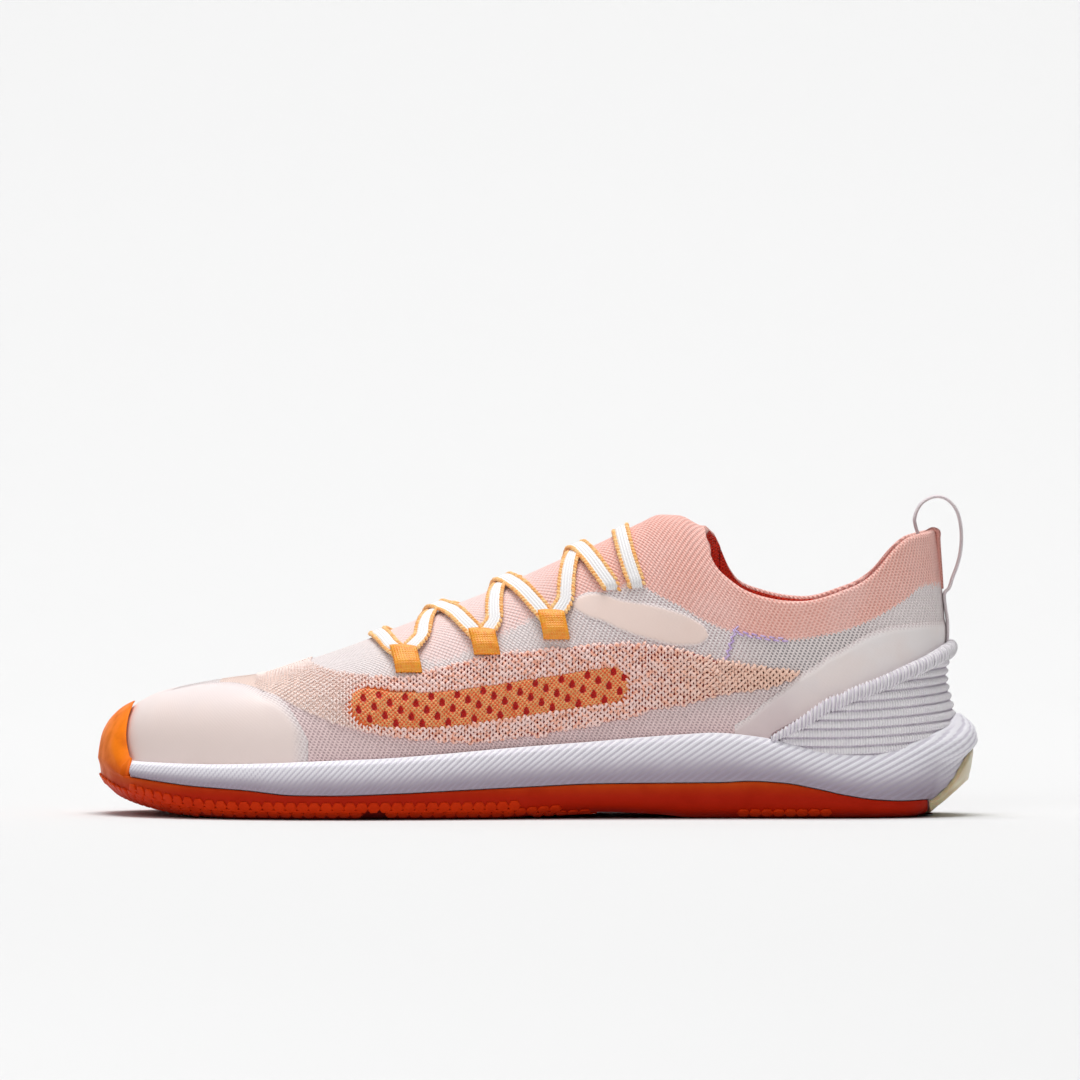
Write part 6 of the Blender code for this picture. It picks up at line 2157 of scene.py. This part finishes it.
class ShoeColours(bpy.types.PropertyGroup):
    """Colours of the shoe's finishes, as seen on screen."""

    knit_white: color_prop("Knit white", "Fine knit", 238, 227, 226)
    knit_lilac: color_prop("Knit lilac", "Fine knit near the sole", 246, 218, 217)
    knit_shadow: color_prop("Knit shadow", "Between fine stitches", 172, 140, 144)
    # Painted shade in the stitch gaps under the collar.
    knit_gap: color_prop("Knit gap", "Between fine stitches under the collar", 90, 80, 86)
    collar: color_prop("Collar", "Collar knit", 252, 196, 183)
    collar_dot: color_prop("Collar dot", "Stitch gaps of the collar", 222, 138, 122)
    throat: color_prop("Throat", "Knit under the laces", 250, 218, 214)
    band_ground: color_prop("Band ground", "Ground of the coarse band", 184, 38, 22)
    band_pale: color_prop("Band at the toe", "Ground of the band at the toe", 250, 222, 210)
    band_heel: color_prop("Band at the heel", "Ground of the band at the heel", 150, 82, 48)
    yarn: color_prop("Band yarn", "Yarn of the coarse band", 255, 222, 214)
    yarn_shade: color_prop("Band yarn shade", "Darker yarn of the band", 252, 186, 160)
    yarn_toe: color_prop("Band yarn at the toe", "Yarn near the toe", 255, 238, 232)
    yarn_heel: color_prop("Band yarn at the heel", "Yarn near the heel", 248, 208, 188)
    # Vent yarn: lighter for the raised weave as painted highlight, darker for its low places as painted shade.
    vent_yarn: color_prop("Vent yarn", "Yarn round the vent's holes", 255, 182, 116)
    vent_shade: color_prop("Vent yarn shade", "Darker yarn of the vent", 255, 124, 54)
    vent_hole: color_prop("Vent hole", "Ground behind the vent's holes", 214, 16, 2)
    vent_deep: color_prop("Vent ground", "Shaded yarn of the vent", 252, 92, 34)
    film_warm: color_prop("Film warm", "Warm places of the films", 236, 218, 212)
    eyestay_low: color_prop("Eyestay film, low", "Lower part of the films at the eyelets", 226, 202, 194)
    binding: color_prop("Binding", "Rolled edge at the back of the collar", 224, 158, 146)
    binding_shade: color_prop("Binding shade", "Rolled edge, darker", 196, 124, 112)
    lining: color_prop("Lining", "Lining and sockliner", 255, 84, 48)
    lining_shade: color_prop("Lining shade", "Between the lining's stitches", 222, 44, 20)
    toe_film: color_prop("Toe film", "Upper part of the toe film", 232, 222, 223)
    toe_film_low: color_prop("Toe film, low", "Lower part of the toe film", 240, 222, 216)
    heel_film: color_prop("Heel film", "Upper part of the heel film", 240, 233, 232)
    # Painted shade on the lower part of the heel film.
    heel_film_low: color_prop("Heel film, low", "Lower part of the heel film", 218, 200, 200)
    eyestay: color_prop("Eyestay film", "Films beside the top eyelets", 240, 216, 206)
    # Rubber colours: the side colour low down and the top colour higher up stand for painted shade and light.
    rubber_side: color_prop("Rubber side", "Rubber of the side wrap", 178, 29, 0)
    rubber_bumper: color_prop("Rubber bumper", "Rubber of the toe bumper", 252, 132, 24)
    rubber_dark: color_prop("Rubber shade", "Dusty rubber", 160, 24, 0)
    rubber_pad: color_prop("Rubber pads", "Faces of the tread's pads", 206, 50, 0)
    # Painted shade in the flex notch.
    recess: color_prop("Recess", "Flex notch", 110, 14, 6)
    foam: color_prop("Foam", "Midsole foam", 246, 244, 250)
    # Painted shade: the foam's lower part and its grooves.
    foam_shade: color_prop("Foam shade", "Foam, lower part", 162, 150, 164)
    foam_groove: color_prop("Foam groove", "Grooves of the foam", 178, 168, 188)
    cuff: color_prop("Cuff", "Cuff knit", 255, 252, 254)
    cuff_shade: color_prop("Cuff shade", "Cuff knit, lilac", 242, 234, 244)
    # Painted shade between the cuff's ribs.
    cuff_groove: color_prop("Cuff groove", "Between the cuff's ribs", 198, 184, 204)
    pad: color_prop("Pad", "Heel insert", 214, 200, 164)
    pad_shade: color_prop("Pad shade", "Heel insert, darker", 198, 180, 140)
    tab: color_prop("Tab", "Lace tab tape", 255, 164, 40)
    tab_shade: color_prop("Tab shade", "Lace tab tape, darker", 250, 140, 20)
    tab_light: color_prop("Tab light", "Threads of the tab tape", 255, 190, 90)
    lace: color_prop("Lace", "Lace", 250, 248, 248)
    lace_shade: color_prop("Lace shade", "Between the lace's ribs", 208, 202, 206)
    lace_edge: color_prop("Lace edge", "Picots of the lace", 255, 212, 148)
    lace_edge_shade: color_prop("Lace edge shade", "Picots, darker", 252, 178, 96)
    thread: color_prop("Thread", "Seam thread", 214, 192, 232)
    thread_shade: color_prop("Thread shade", "Seam thread, darker", 190, 160, 214)
    ribbon: color_prop("Ribbon", "Pull loop", 236, 225, 227)
    ribbon_shade: color_prop("Ribbon shade", "Pull loop, darker", 206, 192, 198)
    floor: color_prop("Floor", "Studio floor", 219, 219, 219)


class SHOE_OT_stage(bpy.types.Operator):
    """Make the floor, the lights and the camera"""

    bl_idname = "shoe.stage"
    bl_label = "Stage"

    def execute(self, context):
        build_stage()
        return {"FINISHED"}


class SHOE_OT_upper(bpy.types.Operator):
    """Knit the bootie with its lining"""

    bl_idname = "shoe.upper"
    bl_label = "Upper"

    def execute(self, context):
        build_upper()
        return {"FINISHED"}


class SHOE_OT_band(bpy.types.Operator):
    """Add the knots of the coarse band"""

    bl_idname = "shoe.band"
    bl_label = "Coarse band"

    def execute(self, context):
        build_band()
        return {"FINISHED"}


class SHOE_OT_vent(bpy.types.Operator):
    """Knit the vent with its holes"""

    bl_idname = "shoe.vent"
    bl_label = "Vent"

    def execute(self, context):
        build_vent()
        return {"FINISHED"}


class SHOE_OT_films(bpy.types.Operator):
    """Fuse the films to the upper"""

    bl_idname = "shoe.films"
    bl_label = "Films"

    def execute(self, context):
        build_films()
        return {"FINISHED"}


class SHOE_OT_cuff(bpy.types.Operator):
    """Knit the heel cuff and its rolled edge"""

    bl_idname = "shoe.cuff"
    bl_label = "Heel cuff"

    def execute(self, context):
        build_cuff()
        return {"FINISHED"}


class SHOE_OT_outsole(bpy.types.Operator):
    """Mould the rubber shell and its honeycomb pads"""

    bl_idname = "shoe.outsole"
    bl_label = "Outsole"

    def execute(self, context):
        build_outsole()
        return {"FINISHED"}


class SHOE_OT_midsole(bpy.types.Operator):
    """Mould the ribbed foam cup"""

    bl_idname = "shoe.midsole"
    bl_label = "Midsole"

    def execute(self, context):
        build_midsole()
        return {"FINISHED"}


class SHOE_OT_pad(bpy.types.Operator):
    """Add the heel insert"""

    bl_idname = "shoe.pad"
    bl_label = "Heel insert"

    def execute(self, context):
        build_pad()
        return {"FINISHED"}


class SHOE_OT_insole(bpy.types.Operator):
    """Lay the sockliner in the shoe"""

    bl_idname = "shoe.insole"
    bl_label = "Sockliner"

    def execute(self, context):
        build_insole()
        return {"FINISHED"}


class SHOE_OT_tabs(bpy.types.Operator):
    """Sew on the lace tabs"""

    bl_idname = "shoe.tabs"
    bl_label = "Lace tabs"

    def execute(self, context):
        build_tabs()
        return {"FINISHED"}


class SHOE_OT_laces(bpy.types.Operator):
    """Run the lace over the instep"""

    bl_idname = "shoe.laces"
    bl_label = "Laces"

    def execute(self, context):
        build_laces()
        return {"FINISHED"}


class SHOE_OT_seams(bpy.types.Operator):
    """Sew the lilac stitches"""

    bl_idname = "shoe.seams"
    bl_label = "Seams"

    def execute(self, context):
        build_seams()
        return {"FINISHED"}


class SHOE_OT_loop(bpy.types.Operator):
    """Sew on the pull loop"""

    bl_idname = "shoe.loop"
    bl_label = "Pull loop"

    def execute(self, context):
        build_loop()
        return {"FINISHED"}


OPERATORS = (
    SHOE_OT_stage, SHOE_OT_upper, SHOE_OT_band, SHOE_OT_vent, SHOE_OT_films, SHOE_OT_cuff,
    SHOE_OT_outsole, SHOE_OT_midsole, SHOE_OT_pad, SHOE_OT_insole, SHOE_OT_tabs, SHOE_OT_laces,
    SHOE_OT_seams, SHOE_OT_loop,
)  # fmt: skip


class SHOE_PT_panel(bpy.types.Panel):
    """Sizes, colours and pieces of the shoe"""

    bl_idname = "SHOE_PT_panel"
    bl_label = "Shoe"
    bl_space_type = "VIEW_3D"
    bl_region_type = "UI"
    bl_category = "Shoe"

    def draw(self, context):
        column = self.layout.column()
        for group in (context.scene.shoe_sizes, context.scene.shoe_colours):
            for key in group.__annotations__:
                column.prop(group, key)
        for made in OPERATORS:
            column.operator(made.bl_idname)


CLASSES = (ShoeSizes, ShoeColours, *OPERATORS, SHOE_PT_panel)


def register():
    for made in CLASSES:
        bpy.utils.register_class(made)
    bpy.types.Scene.shoe_sizes = bpy.props.PointerProperty(type=ShoeSizes)
    bpy.types.Scene.shoe_colours = bpy.props.PointerProperty(type=ShoeColours)


def unregister():
    del bpy.types.Scene.shoe_colours
    del bpy.types.Scene.shoe_sizes
    for made in reversed(CLASSES):
        bpy.utils.unregister_class(made)


def main():
    """Makes the stage and every piece."""
    register()
    for made in OPERATORS:
        group, key = made.bl_idname.split(".")
        getattr(getattr(bpy.ops, group), key)()
    boxes = {"cad": CAD_BOX, "visual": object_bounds()}
    boxes = {name: [list(corner) for corner in box] for name, box in boxes.items()}


if __name__ == "__main__":
    main()
